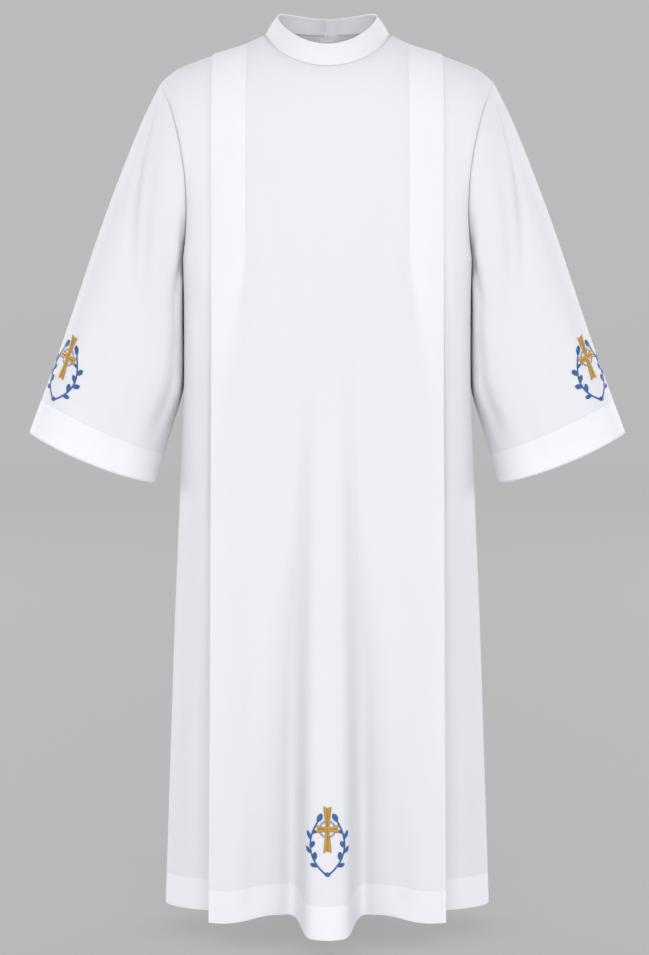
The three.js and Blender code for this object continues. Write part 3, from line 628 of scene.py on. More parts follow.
# threads: each is a short flat tube along a few points of the cloth
def tubes(name, lines, normals, wide, high, material):
    lines, normals = np.asarray(lines), np.asarray(normals)
    count, steps = lines.shape[:2]
    along = unit(np.gradient(lines, axis=1))
    side = unit(np.cross(along, normals))
    share = np.linspace(-1, 1, steps)
    taper = np.sqrt(np.clip(1.02 - share**4, 0.05, 1))[None, :, None]
    ring = [(1, 0), (0.55, 0.85), (-0.55, 0.85), (-1, 0), (0, -0.6)]
    sides = len(ring)
    across, up = side * taper * wide / 2, normals * taper * high / 2
    verts = np.stack([lines + across * a + up * b for a, b in ring], axis=2).reshape(-1, 3)
    start = (np.arange(count) * steps * sides)[:, None, None]
    j, i = np.meshgrid(np.arange(steps - 1), np.arange(sides), indexing="ij")
    a, b = j * sides + i, j * sides + (i + 1) % sides
    quads = np.stack([a, a + sides, b + sides, b], -1)[None] + start[..., None]
    first = start[:, 0, 0, None]
    caps = [first + np.arange(sides), first + (steps - 1) * sides + np.arange(sides)[::-1]]
    lengths = np.linalg.norm(np.diff(lines, axis=1), axis=2).cumsum(axis=1)
    lengths = np.concatenate([np.zeros((count, 1)), lengths], axis=1) + rng.uniform(0, 50, (count, 1))
    girth = np.arange(sides)[None, None] * wide * 0.6
    uvs = np.stack(np.broadcast_arrays(lengths[:, :, None], girth), -1).reshape(-1, 2)
    faces = quads.reshape(-1, 4).tolist() + caps[0].tolist() + caps[1].tolist()
    piece = makeObject(name, verts, faces, material, uvs)
    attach(piece, "root")
    return piece


stitch = {"long": 2.5, "every": 3.1, "wide": 0.42, "high": 0.34, "sink": 0.02}


# a row of stitches along a line on the cloth
def stitchLine(points, normals):
    steps = np.linalg.norm(np.diff(points, axis=0), axis=1)
    at = np.concatenate([[0], np.cumsum(steps)])
    starts = np.arange(1, at[-1] - stitch["long"] - 1, stitch["every"])
    spread = starts[:, None] + np.linspace(0, stitch["long"], 4)
    lines = np.stack([np.interp(spread, at, points[:, k]) for k in range(3)], -1)
    out = unit(np.stack([np.interp(spread, at, normals[:, k]) for k in range(3)], -1))
    lift = (np.array([-0.15, 0.14, 0.14, -0.15]) - stitch["sink"])[None, :, None]
    return lines + out * lift, out


def stitching(name, runs):
    made = [stitchLine(points, normals) for points, normals in runs]
    lines = np.concatenate([m[0] for m in made])
    out = np.concatenate([m[1] for m in made])
    return tubes(name, lines, out, stitch["wide"], stitch["high"], whiteThread)


def onLine(grid, normals, rows=slice(None), columns=slice(None)):
    return grid[rows, columns], normals[rows, columns]


# the front, with its two pleats and its hem
frontForm = {
    "z": (-1358, -1150, -950, -750, -560, -430, -320, -170),
    "flat": (90, 94, 99, 106, 114, 120, 123, 119),  # out from the plane of the side seams
    "corner": (31, 24, 16, 6, -6, -16, -22, -24),  # what the pleat's edge adds
    "ridge": (81, 60, 40, 20, 7, 1.5, 0, 0),  # height of the soft fold
    "half": (39, 38.5, 37.5, 35, 31, 29, 28, 28),  # its half-width
    "box": (11, 10, 8, 6, 4, 3, 3, 3),  # how boxy it is
    "tip": (7, 7, 6, 5, 4, 2.9, 1.8, 1.8),  # thickness of the pleat's edge
    "part": (22, 20, 16, 11, 7, 4, 1.8, 1.8),  # how far its inner fold has sunk
    "gap": (64, 54, 41, 27, 13, 4, 0, 0),  # how far the side cloth has fallen back
    "wide": (1.036, 1.026, 1.017, 1.009, 1.003, 1, 1, 1),  # how much wider the panel has grown
    "wave": (4.5, 1.2, 0, 0, 0, 0, 0, 0),  # rise and fall of the hem
}
# soft creases, from one place across and up to another
frontCreases = [
    {"from": (89, -190), "to": (84, -390), "wide": 11, "depth": 0.8},
    {"from": (60, -330), "to": (48, -560), "wide": 14, "depth": 0.9},
    {"from": (20, -250), "to": (24, -520), "wide": 12, "depth": 0.6},
    {"from": (118, -318), "to": (140, -560), "wide": 13, "depth": 1.6, "starts": 0.12, "bow": 4},
    {"from": (148, -480), "to": (152, -900), "wide": 20, "depth": 1.6},
    {"from": (106, -620), "to": (96, -1180), "wide": 26, "depth": 2.2},
    {"from": (78, -760), "to": (66, -1250), "wide": 15, "depth": 1.3},
    {"from": (200, -300), "to": (208, -430), "wide": 9, "depth": 1.6},
    {"from": (208, -356), "to": (196, -520), "wide": 9, "depth": 1.6, "starts": 0.3, "bow": -4},
    {"from": (232, -640), "to": (205, -780), "wide": 13, "depth": 1.3},
    {"from": (214, -700), "to": (221, -1120), "wide": 13, "depth": 1.8},
    {"from": (238, -930), "to": (243, -1330), "wide": 12, "depth": 1.8},
    {"from": (196, -1010), "to": (199, -1340), "wide": 10, "depth": 1.4},
    {"from": (100, -900), "to": (112, -1352), "wide": 19, "depth": 2.6, "ends": 0.05},
    {"from": (150, -110), "to": (158, -235), "wide": 10, "depth": 0.5},
    {"from": (215, -110), "to": (202, -260), "wide": 11, "depth": 1.0},
]


# columns beside the pleat's stitched fold and out to its edge
nearFold = [119, 121, 122, 123, 124, 125, 127, 131, 137, 144, 151, 158, 165, 170]


def frontGridOf():
    columns = [0, 6, 12, 17, 22, 26, 30, 33, 36, 38, 40, 42, 45, 48, 52, 58, 65, 72, 80, 88, 95, 102]
    columns += [109, 115] + nearFold
    half = halfPanel(np.array(columns, float), -1, frontForm, {"at": 0, "share": 1})
    half = drape(half, -1, frontCreases)
    other = half[:, :0:-1] * np.array([-1, 1, 1])
    return np.concatenate([other, half], axis=1), columns


rowOfHem = int(np.argmin(np.abs(levels - (cloth["hemZ"] + cloth["hemDepth"] - 1.5))))
hemTop = int(np.argmin(np.abs(levels - (cloth["hemZ"] + cloth["hemDepth"]))))
totalRows = len(levels) + len(yokeTurns)
panelThick = np.where(np.arange(totalRows) <= hemTop, cloth["hem"], cloth["thick"]).astype(float)
panelThick[0] *= 0.6


# the same panel, pulled in along its stitches and at its seams
def dipPanel(grid, faceColumns):
    rowLevel = np.concatenate([levels, np.full(len(yokeTurns), yokeZ)])
    hemDip = stitchDip(rowLevel - levels[rowOfHem], 0.3, 1.8)[:, None]
    isFace = np.zeros(grid.shape[1], bool)
    isFace[faceColumns] = True
    stitched = smooth((grid[..., 2] - pleat["stitchEnd"]) / 4)
    pleatDip = stitchDip(np.abs(grid[..., 0]) - pleat["fold"], 0.45, 1.5) * stitched * isFace
    seamDip = np.zeros(grid.shape[1])
    seamDip[[0, -1]] = 0.3
    return grid - gridNormals(grid) * (hemDip + pleatDip + seamDip)[..., None]


# painted light where more than one layer lies behind the right side: the hem, and the pleat from its
# stitched fold, the cloth being coloured lighter there as doubled cloth looks
def doubledCloth(grid, faceColumns):
    rows, columns = grid.shape[:2]
    layerLightShare = np.zeros((rows, columns))
    layerLightShare[: hemTop + 1] = 1
    x = np.abs(grid[..., 0])
    released = 1 - smooth((grid[..., 2] + 610) / 300)
    inner = pleat["fold"] + 20 * released
    strip = smooth((x - inner + 1) / (2 + 34 * released)) * (1 - 0.75 * released)
    isFace = np.zeros(columns, bool)
    isFace[faceColumns] = True
    return np.maximum(layerLightShare, strip * isFace)


frontGrid, frontColumns = frontGridOf()
middle = frontGrid.shape[1] // 2
faceColumns = np.arange(middle - len(frontColumns) - 4, middle + len(frontColumns) + 5)
frontGrid = dipPanel(frontGrid, faceColumns)
# painted light on the front: coloured lighter at the hem and along the pleats, where layers lie doubled
frontLayerLight = doubledCloth(frontGrid, faceColumns)
front = shell("robeFront", frontGrid, panelThick, whiteCloth, middle=middle, double=frontLayerLight)
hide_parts("front")

frontNormals = gridNormals(frontGrid)
foldColumn = frontColumns.index(pleat["fold"])
pleatRows = np.flatnonzero(frontGrid[:, middle + foldColumn, 2] > pleat["stitchEnd"])
frontRuns = [
    onLine(frontGrid, frontNormals, pleatRows, middle + foldColumn),
    onLine(frontGrid, frontNormals, pleatRows, middle - foldColumn),
    onLine(frontGrid, frontNormals, rowOfHem),
]
frontStitches = stitching("frontStitching", frontRuns)


# the two backs, with a pleat each and the opening between them
backForm = {
    "z": (-1358, -1150, -950, -750, -560, -430, -320, -170),
    "flat": (106, 105, 103, 101, 102, 104, 109, 110),
    "corner": (22, 16, 9, 0, -10, -16, -20, -22),
    "ridge": (46, 36, 24, 12, 4, 0.5, 0, 0),
    "half": (33, 32, 30, 28, 27, 26, 26, 26),
    "box": (5, 4.5, 4, 3.4, 3, 3, 3, 3),
    "tip": (7, 7, 6, 5, 4, 2.8, 1.8, 1.8),
    "part": (18, 16, 12, 8, 5, 3.2, 1.8, 1.8),
    "gap": (52, 43, 32, 20, 9, 3, 0, 0),
    "wide": (1.036, 1.026, 1.017, 1.009, 1.003, 1, 1, 1),
    "wave": (-3, -0.8, 0, 0, 0, 0, 0, 0),
}
backRidge = {"left": {"at": 72, "share": 1}, "right": {"at": 66, "share": 0.86}}
backLeftCreases = [
    {"from": (50, -230), "to": (34, -480), "wide": 13, "depth": 1.2},
    {"from": (112, -300), "to": (138, -590), "wide": 15, "depth": 2.0, "starts": 0.15, "bow": 5},
    {"from": (20, -420), "to": (24, -760), "wide": 16, "depth": 1.6},
    {"from": (24, -800), "to": (17, -1340), "wide": 14, "depth": 3.0, "ends": 0.1},
    {"from": (122, -700), "to": (130, -1340), "wide": 20, "depth": 3.4, "ends": 0.1},
    {"from": (90, -160), "to": (74, -300), "wide": 12, "depth": 0.8},
    {"from": (220, -355), "to": (192, -540), "wide": 12, "depth": 2.2, "starts": 0.15, "bow": -5},
    {"from": (210, -690), "to": (218, -1180), "wide": 14, "depth": 2.1},
    {"from": (238, -960), "to": (242, -1330), "wide": 12, "depth": 1.8},
    {"from": (206, -120), "to": (198, -270), "wide": 11, "depth": 1.0},
]
backRightCreases = [
    {"from": (42, -250), "to": (26, -530), "wide": 15, "depth": 1.4},
    {"from": (116, -300), "to": (134, -540), "wide": 14, "depth": 1.8, "starts": 0.15, "bow": 4},
    {"from": (30, -560), "to": (20, -1100), "wide": 17, "depth": 2.2},
    {"from": (116, -840), "to": (122, -1345), "wide": 18, "depth": 3.0, "ends": 0.1},
    {"from": (148, -560), "to": (152, -980), "wide": 16, "depth": 1.6},
    {"from": (96, -140), "to": (84, -330), "wide": 13, "depth": 0.9},
    {"from": (222, -352), "to": (198, -500), "wide": 11, "depth": 2.4, "starts": 0.15, "bow": -4},
    {"from": (206, -760), "to": (213, -1240), "wide": 15, "depth": 2.0},
    {"from": (200, -150), "to": (204, -300), "wide": 10, "depth": 0.8},
]


def backGridOf(ridge, creases):
    columns = [0, 2, 4, 5, 6, 8, 12, 18, 25, 32, 38, 44, 50, 56, 62, 68, 74, 80, 86, 92, 98, 104]
    columns += [110, 115] + nearFold
    return drape(halfPanel(np.array(columns, float), 1, backForm, ridge), 1, creases), columns


slitForm = {"footZ": -196, "stitches": 5}
for side, creases in (("left", backLeftCreases), ("right", backRightCreases)):
    grid, columns = backGridOf(backRidge[side], creases)
    faceOnly = np.arange(0, len(columns) + 4)
    grid = grid[:, ::-1] if side == "left" else grid * np.array([-1, 1, 1])
    if side == "left":
        faceOnly = grid.shape[1] - 1 - faceOnly
    grid = dipPanel(grid, faceOnly)
    seamColumn = grid.shape[1] - 1 if side == "left" else 0
    # painted light on each back: coloured lighter at the hem and along the pleat, where layers lie doubled
    double = doubledCloth(grid, faceOnly)
    name = "robeBack" + side.title()
    panel = shell(name, grid, panelThick, whiteCloth, middle=seamColumn, double=double)
    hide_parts("back_" + side)
    normals = gridNormals(grid)
    fold, slit = columns.index(pleat["fold"]), columns.index(slitForm["stitches"])
    if side == "left":
        fold, slit = seamColumn - fold, seamColumn - slit
    slitRows = np.flatnonzero(grid[:, seamColumn, 2] > slitForm["footZ"])
    runs = [
        onLine(grid, normals, pleatRows, fold),
        onLine(grid, normals, rowOfHem),
        onLine(grid, normals, slitRows, slit),
    ]
    sewn = stitching("back" + side.title() + "Stitching", runs)
print("front and backs built")

# the sleeves, ring by ring from the armhole to the cuff
sleeveForm = {
    "ring": (0, 1, 2, 3, 4, 5, 6, 7),
    "outX": (256, 285, 323, 358, 392, 423, 446, 465.5),  # its outer edge seen from the front
    "outZ": (-71, -128, -220, -313, -412, -500, -560, -611.5),
    "inX": (222, 222.9, 222.9, 223.3, 227, 241, 255, 269),  # its inner edge
    "inZ": (-345, -400, -452, -503, -550, -599, -645, -691),
    "front": (82, 77, 70, 64, 59, 55, 53, 52),  # how far it swells to the front and back
    "back": (86, 80, 72, 65, 60, 56, 54, 53),
    "trough": (0, 4.5, 6, 4.5, 2.5, 0, 0, 0),  # the long trough from the shoulder
    "at": (20, 38, 62, 82, 92, 95, 95, 95),  # where it lies, in degrees
    "sag": (0, 0, 0, 0, 1, 3, 5, 7),  # how far the ring sags between its edges
}
# on a sleeve the places are degrees round it and millimetres down it
sleeveCreases = [
    {"from": (22, -8), "to": (90, 235), "wide": 6.5, "depth": 3.4, "starts": 0.12, "ends": 0.7},
    {"from": (64, 10), "to": (104, 260), "wide": 8, "depth": 1.1},
    {"from": (150, 20), "to": (128, 210), "wide": 9, "depth": 3.2, "starts": 0.1},
    {"from": (150, 90), "to": (138, 330), "wide": 7, "depth": 1.4},
    {"from": (124, 60), "to": (116, 380), "wide": 8, "depth": 0.8},
    {"from": (60, 250), "to": (68, 440), "wide": 9, "depth": 1.0},
    {"from": (108, 290), "to": (112, 455), "wide": 8, "depth": 1.1, "ends": 0.1},
    {"from": (152, 225), "to": (138, 420), "wide": 7, "depth": 2.4, "starts": 0.3, "ends": 0.4},
    {"from": (325, 10), "to": (292, 250), "wide": 8, "depth": 2.4, "bow": 3},
    {"from": (300, 0), "to": (252, 330), "wide": 9, "depth": 1.5},
    {"from": (212, 20), "to": (232, 240), "wide": 9, "depth": 3.0, "starts": 0.1},
    {"from": (192, 80), "to": (214, 350), "wide": 8, "depth": 2.0},
    {"from": (272, 240), "to": (262, 455), "wide": 9, "depth": 1.6, "ends": 0.1},
    {"from": (318, 200), "to": (310, 440), "wide": 9, "depth": 1.2},
]
sleeveFit = {"inner": 0.6, "from": 0.8, "to": 5.4}
sleeveTurns = np.arange(0, 360, 3)
cuffRows = [5.93, 5.96, 5.98, 5.99, 6, 6.01, 6.02, 6.04, 6.07]
sleeveRings = [np.linspace(0, 0.2, 8), np.linspace(0.25, 5.88, 84), cuffRows, np.linspace(6.12, 7, 13)]
sleeveRings = np.concatenate(sleeveRings)


def sleevePoints(ring, turn):
    row = tableAt(sleeveForm, "ring", ring)
    c, s = np.cos(np.radians(turn)), np.sin(np.radians(turn))
    isFront = turn < 180
    sink = row["trough"] * np.exp(-(((turn - row["at"]) / 26) ** 2))
    bow = np.where(isFront, armholeSwell["bowFront"], armholeSwell["bowBack"]) * max(0, 1 - ring / 1.6) ** 2
    # the inner side is squarer where it lies against the body
    beside = smooth(ring / sleeveFit["from"]) * smooth((sleeveFit["to"] - ring) / 1.8)
    boxy = sleeveFit["inner"] * smooth(-1.6 * c) * beside
    swell = np.abs(s) ** (armholeForm["square"] - boxy)
    x = mix(row["inX"], row["outX"], (c + 1) / 2) - bow * s * s
    y = np.where(isFront, sink - row["front"] * swell, row["back"] * swell)
    return vec(x, y, mix(row["inZ"], row["outZ"], (c + 1) / 2) - row["sag"] * s * s)


def sleeveGridOf():
    grid = np.array([sleevePoints(r, sleeveTurns) for r in sleeveRings])
    normal = gridNormals(grid, closed=True)
    down = np.concatenate([[0], np.cumsum(np.linalg.norm(np.diff(grid.mean(axis=1), axis=0), axis=1))])
    turn = np.broadcast_to(sleeveTurns, grid.shape[:2]).astype(float)
    lengths = np.broadcast_to(down[:, None], grid.shape[:2])
    cuff = np.interp(6, sleeveRings, down)
    dip = creaseDepth(turn, lengths, sleeveCreases, 0.1) * smooth(lengths / 30)
    dip = dip + stitchDip(lengths - cuff) + stitchDip(lengths, 0.9, 2.5)
    # fullness eased in along the seam at the top of the arm
    ease = 0.5 * np.sin(np.radians(turn) * 34) * np.exp(-((lengths - 7) / 6) ** 2)
    return grid - normal * (dip + ease * (np.cos(np.radians(turn)) > 0))[..., None]


leftSleeve = sleeveGridOf()
sleeveThick = np.where(sleeveRings > 5.995, cloth["hem"], cloth["thick"]).astype(float)
sleeveThick[-1] *= 0.6
cuffRow = int(np.argmin(np.abs(sleeveRings - 6.01)))
sleeves = {}
for side in ("left", "right"):
    # rows turned to run up, and the left one's columns turned too, so that both face out
    grid = leftSleeve[::-1, ::-1] if side == "left" else (leftSleeve * np.array([-1, 1, 1]))[::-1]
    thick = sleeveThick[::-1]
    normals = gridNormals(grid, closed=True)
    # painted light on the cuff: its doubled cloth is coloured lighter
    doubled = (sleeveRings > 5.995)[::-1].astype(float)[:, None]
    name = "robeSleeve" + side.title()
    piece = shell(name, grid, thick, whiteCloth, closed=True, middle=30, double=doubled)
    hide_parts("sleeve_" + side)
    row = len(sleeveRings) - 1 - cuffRow
    ring = np.append(grid[row], grid[row][:1], axis=0), np.append(normals[row], normals[row][:1], axis=0)
    sewn = stitching("sleeve" + side.title() + "Stitching", [ring])
    sleeves[side] = {"piece": piece, "grid": grid, "stitches": sewn}
print("sleeves built")

# the collar, with its ends lapped at the back
collar = {"half": 76.5, "centre": -13, "deep": 69, "front": -23, "side": 28, "back": 34, "thick": 2.2}
collarLap = {"from": -177, "rise": 160, "flat": 178, "to": 194, "off": 3.4}


def collarPoints(turn, height):
    c, s = np.cos(np.radians(turn)), np.sin(np.radians(turn))
    tilt = (collar["front"] - collar["back"]) / 2
    dip = (collar["front"] + collar["back"]) / 2 - collar["side"]
    top = collar["side"] + tilt * c + dip * c * c
    upper = vec(collar["half"] * s, collar["centre"] - collar["deep"] * c, top)
    lower = neckline(turn)
    lapped = (turn - collarLap["rise"]) / (collarLap["flat"] - collarLap["rise"])
    lap = smooth(lapped) * collarLap["off"]
    out = vec(s, -c, 0 * s)
    bulge = 1.1 * np.sin(np.pi * np.clip(height, 0, 1)) - 0.15 * smooth(1 - height / 0.08)
    height = np.asarray(height)[..., None]
    return lower + (upper - lower) * height + unit(upper - lower) * 0.3 + out * (lap + bulge)[..., None]


lapFrom, lapTo = collarLap["from"], collarLap["to"]
collarTurns = [[lapFrom, lapFrom + 0.6], np.arange(lapFrom + 2, lapTo - 1, 2.5), [lapTo - 0.6, lapTo]]
collarTurns = np.concatenate(collarTurns)
collarHeights = [-0.06, 0, 0.03, 0.07, 0.11, 0.15, 0.2, 0.3, 0.4, 0.5, 0.6, 0.7, 0.8]
collarHeights = np.array(collarHeights + [0.85, 0.89, 0.92, 0.95, 0.98, 1])
collarGrid = np.array([collarPoints(collarTurns, np.full(len(collarTurns), h)) for h in collarHeights])
collarNormals = gridNormals(collarGrid)
edgeDip = stitchDip(collarHeights - 0.92, 0.3, 0.03) + stitchDip(collarHeights - 0.11, 0.3, 0.03)
collarGrid -= collarNormals * edgeDip[:, None, None]
collarThick = np.full(len(collarHeights), collar["thick"])
collarThick[-1] = 1.3
# painted light: the whole collar is coloured halfway towards the lighter tone for doubled cloth
collarLayerLight = np.full((len(collarHeights), 1), 0.5)
collarMade = shell("robeCollar", collarGrid, collarThick, whiteCloth, middle=71, double=collarLayerLight)
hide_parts("collar")
collarSewn = stitching(
    "collarStitching",
    [
        onLine(collarGrid, collarNormals, list(collarHeights).index(0.92)),
        onLine(collarGrid, collarNormals, list(collarHeights).index(0.11)),
        onLine(collarGrid, collarNormals, slice(3, 16), len(collarTurns) - 3),
    ],
)

# the strip behind the back opening
placket = {"across": (13, 10, 5, 0, -5, -10, -13), "off": 1.7, "thick": 0.9, "foot": -208}


def placketRow(level, turn):
    across = np.array(placket["across"], float)
    point, out = face(np.abs(across), level, turn, 1, backForm, backRidge["left"])
    point = point - out * placket["off"]
    point[:, 0] = across
    return point


placketRows = [placketRow(z, None) for z in np.linspace(placket["foot"], yokeZ, 9)[:-1]]
placketGrid = np.array(placketRows + [placketRow(None, t) for t in yokeTurns[:-1]])
# painted light: the folded strip is coloured fully to the lighter tone for doubled cloth
placketLayerLight = np.ones((len(placketGrid), 1))
placketMade = shell("backPlacket", placketGrid, placket["thick"], whiteCloth, middle=3, double=placketLayerLight)
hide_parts("back_placket")

# the button: its profile gives distance from its middle and height
button = {"turn": 186, "hole": 0.75, "holeOut": 1.7, "around": 48}
buttonProfile = ((0, 0.5), (4.4, 0.5), (5.2, 0.9), (5.5, 1.4), (5.4, 1.9), (5.0, 2.25), (4.5, 2.3))
buttonProfile += ((4.1, 2.05), (3.7, 1.85), (0, 1.8))


def buttonFrame():
    seat = collarPoints(np.array([button["turn"]]), np.array([0.5]))[0]
    side = unit(collarPoints(np.array([button["turn"] + 1.0]), np.array([0.5]))[0] - seat)
    up = unit(collarPoints(np.array([button["turn"]]), np.array([1.0]))[0] - seat)
    return seat, side, up, unit(np.cross(side, up))


def makeButton():
    seat, side, up, out = buttonFrame()
    around = button["around"]
    turn = np.linspace(0, 2 * np.pi, around, endpoint=False)
    verts = [seat + out * buttonProfile[0][1]]
    for r, h in buttonProfile[1:-1]:
        verts += [seat + out * h + r * (side * math.cos(t) + up * math.sin(t)) for t in turn]
    verts.append(seat + out * buttonProfile[-1][1])
    rings = len(buttonProfile) - 2
    faces = [(0, 1 + (i + 1) % around, 1 + i) for i in range(around)]
    for j in range(rings - 1):
        low = 1 + j * around
        for i in range(around):
            k = (i + 1) % around
            faces.append((low + i, low + k, low + around + k, low + around + i))
    low = 1 + (rings - 1) * around
    faces += [(low + i, low + (i + 1) % around, len(verts) - 1) for i in range(around)]
    piece = makeObject("collarButton", verts, faces, buttonMaterial())
    cutters = []
    for a in (45, 135, 225, 315):
        way = side * math.cos(math.radians(a)) + up * math.sin(math.radians(a))
        bpy.ops.mesh.primitive_cylinder_add(vertices=20, radius=button["hole"] * mm, depth=8 * mm)
        cutter = bpy.context.object
        cutter.location = (seat + button["holeOut"] * way) * mm
        cutter.rotation_euler = Vector(out).to_track_quat("Z", "Y").to_euler()
        cut = piece.modifiers.new("hole", "BOOLEAN")
        cut.operation = "DIFFERENCE"
        cut.object = cutter
        cutters.append(cutter)
    bpy.context.view_layer.update()
    cutMesh = bpy.data.meshes.new_from_object(piece.evaluated_get(bpy.context.evaluated_depsgraph_get()))
    piece.modifiers.clear()
    piece.data = cutMesh
    for cutter in cutters:
        bpy.data.objects.remove(cutter)
    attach(piece, "root")
    return piece


buttonMade = makeButton()
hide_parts("collar_button")


# thread crossed through the button's holes, and a worked buttonhole beside it
def buttonSewing():
    seat, side, up, out = buttonFrame()
    lines, normals = [], []
    for a in (45, 135):
        for shift in (-0.28, 0, 0.28):
            way = side * math.cos(math.radians(a)) + up * math.sin(math.radians(a))
            aside = np.cross(out, way) * shift
            spots = [-1.75, -1.2, 1.2, 1.75]
            heights = [1.5, 2.1, 2.1, 1.5]
            lines.append([seat + aside + way * s + out * h for s, h in zip(spots, heights)])
            normals.append([out] * 4)
    for s in np.arange(-8.5, 8.5, 0.5):
        for edge in (-1, 1):
            base = seat + side * (s - 1) + out * 0.1
            spots = [0.25, 0.8, 1.4, 1.9]
            heights = [-0.1, 0.15, 0.15, -0.1]
            lines.append([base + up * edge * v + out * h for v, h in zip(spots, heights)])
            normals.append([out] * 4)
    return tubes("buttonSewing", lines, normals, 0.42, 0.36, whiteThread)


buttonThread = buttonSewing()
print("collar, placket and button built")

# the embroidered emblem: a flared cross over a ring, between two leafy sprays
crossForm = {"v": 17, "up": 35, "down": 36, "side": 18, "root": 2.8, "end": 6.4, "notch": 2.6}
ringForm = {"v": 17, "inner": 10.5, "outer": 13.6}
sprayForm = {"foot": -52, "width": 26.5, "top": 27, "bow": 0.8, "stem": 1.5}
leafForm = {"long": 15.5, "half": 4.2, "lean": 38}
# each leaf's place up its stem, the side it leans to, and its size
leaves = ((0.16, 1, 0.8), (0.26, -1, 0.9), (0.4, 1, 0.9), (0.5, -1, 0.8), (0.66, 1, 0.9), (0.78, -1, 0.55))
leaves += ((1, 0, 1),)
embroidery = {"pitch": 0.36, "wide": 0.5, "high": 0.34, "puff": 0.55}


# threads from pairs of ends on the two edges of a shape
def between(edgeA, edgeB, lift, puff):
    t = np.linspace(0, 1, 5)[None, :, None]
    flat = edgeA[:, None] * (1 - t) + edgeB[:, None] * t
    length = np.linalg.norm(edgeB - edgeA, axis=1)[:, None]
    rise = lift + puff * np.minimum(length / 4, 1) * np.sin(np.pi * t[..., 0]) ** 0.6
    return np.concatenate([flat, rise[..., None]], axis=2)


def alongLine(points, spacing):
    at = np.concatenate([[0], np.cumsum(np.linalg.norm(np.diff(points, axis=0), axis=1))])
    spots = np.linspace(0, at[-1], max(int(at[-1] / spacing), 3))
    return np.stack([np.interp(spots, at, points[:, k]) for k in range(2)], -1), spots / at[-1]


def crossThreads(lift):
    made = []
    f = crossForm
    for turn, length in ((0, f["up"]), (90, f["side"]), (180, f["down"]), (270, f["side"])):
        t = np.arange(0.4, length, embroidery["pitch"])
        half = mix(f["root"], f["end"], t / length)
        notch = np.maximum(t - (length - f["notch"]), 0) / f["notch"] * f["end"]
        slant = 0.9
        c, s = math.cos(math.radians(turn)), math.sin(math.radians(turn))

        def turned(x, y):
            return np.stack([x * c - y * s, f["v"] + x * s + y * c], -1)

        low = t - slant * (t < length - 1)
        made.append(between(turned(-half, low), turned(-notch, t), lift, embroidery["puff"]))
        made.append(between(turned(notch, t), turned(half, low), lift, embroidery["puff"]))
    return np.concatenate(made)


def ringThreads(lift):
    turn = np.arange(0, 2 * np.pi, embroidery["pitch"] / ringForm["outer"])
    ends = []
    for r, slip in ((ringForm["inner"], 0), (ringForm["outer"], 0.05)):
        ends.append(np.stack([r * np.cos(turn + slip), ringForm["v"] + r * np.sin(turn + slip)], -1))
    return between(ends[0], ends[1], lift, embroidery["puff"] * 0.9)


def stemPoint(t, side):
    u = side * sprayForm["width"] * np.sin(np.pi * sprayForm["bow"] * t ** sprayForm["bow"])
    return np.stack([u, mix(sprayForm["foot"], sprayForm["top"], t)], -1)


def wreathThreads(lift):
    made = []
    for side in (1, -1):
        line, share = alongLine(stemPoint(np.linspace(0, 1, 60), side), embroidery["pitch"])
        way = unit(np.gradient(line, axis=0))
        across = np.stack([way[:, 1], -way[:, 0]], -1) * sprayForm["stem"]
        made.append(between(line - across - way * 0.4, line + across + way * 0.4, lift, 0.5))
        for at, out, size in leaves:
            root = stemPoint(np.array(at), side)
            back = stemPoint(np.array(at - 0.05), side)
            lean = math.atan2(*(root - back)[::-1]) - math.radians(side * out * leafForm["lean"])
            axis = np.array([math.cos(lean), math.sin(lean)])
            cross = np.array([-axis[1], axis[0]])
            long, half = leafForm["long"] * size, leafForm["half"] * size
            t = np.arange(0, 1, embroidery["pitch"] / long * 0.9)
            width = half * np.sin(np.pi * np.clip(t, 0, 1) ** 0.8) ** 0.8 + 0.12
            rib = root + axis * (t * long)[:, None]
            for edge in (1, -1):
                reach = np.minimum(t * long + 0.55 * width, long)
                rim = root + axis * reach[:, None] + cross * (edge * width)[:, None]
                made.append(between(rib, rim, lift + 0.05, embroidery["puff"] * 0.9))
    v = np.arange(sprayForm["foot"] - 2.4, sprayForm["foot"] + 4.4, embroidery["pitch"])
    half = 4.6 * np.sin(np.pi * (v - v[0] + 0.4) / (v[-1] - v[0] + 0.8)) ** 0.7 + 0.3
    made.append(between(np.stack([-half, v + 0.3], -1), np.stack([half, v - 0.3], -1), lift + 0.45, 0.5))
    return np.concatenate(made)


# points of a flat design laid on a grid of cloth, round an anchor row and column
def layOn(grid, row, column, flat):
    normals = gridNormals(grid)
    u, v, h = flat[..., 0].ravel(), flat[..., 1].ravel(), flat[..., 2].ravel()
    rise = np.concatenate([[0], np.cumsum(np.linalg.norm(np.diff(grid[:, column], axis=0), axis=1))])
    rows = np.interp(v + rise[row], rise, np.arange(len(rise)))
    steps = np.linalg.norm(np.diff(grid, axis=1), axis=2)
    run = np.concatenate([np.zeros((len(grid), 1)), np.cumsum(steps, axis=1)], axis=1)
    run -= run[:, column : column + 1]
    low = np.clip(np.floor(rows).astype(int), 0, len(grid) - 2)
    share = rows - low
    columns = np.empty_like(u)
    for r in np.unique(low):
        mine = low == r
        a = np.interp(u[mine], run[r], np.arange(grid.shape[1]))
        b = np.interp(u[mine], run[r + 1], np.arange(grid.shape[1]))
        columns[mine] = mix(a, b, share[mine])
    left = np.clip(np.floor(columns).astype(int), 0, grid.shape[1] - 2)
    g = (columns - left)[:, None]
    f = share[:, None]

    def blend(values):
        lower = mix(values[low, left], values[low, left + 1], g)
        return mix(lower, mix(values[low + 1, left], values[low + 1, left + 1], g), f)

    out = unit(blend(normals))
    return (blend(grid) + out * h[:, None]).reshape(*flat.shape[:2], 3), out.reshape(*flat.shape[:2], 3)


def anchorRow(grid, column, start, length):
    rise = np.concatenate([[0], np.cumsum(np.linalg.norm(np.diff(grid[:, column], axis=0), axis=1))])
    return int(np.argmin(np.abs(rise - rise[start] - length)))


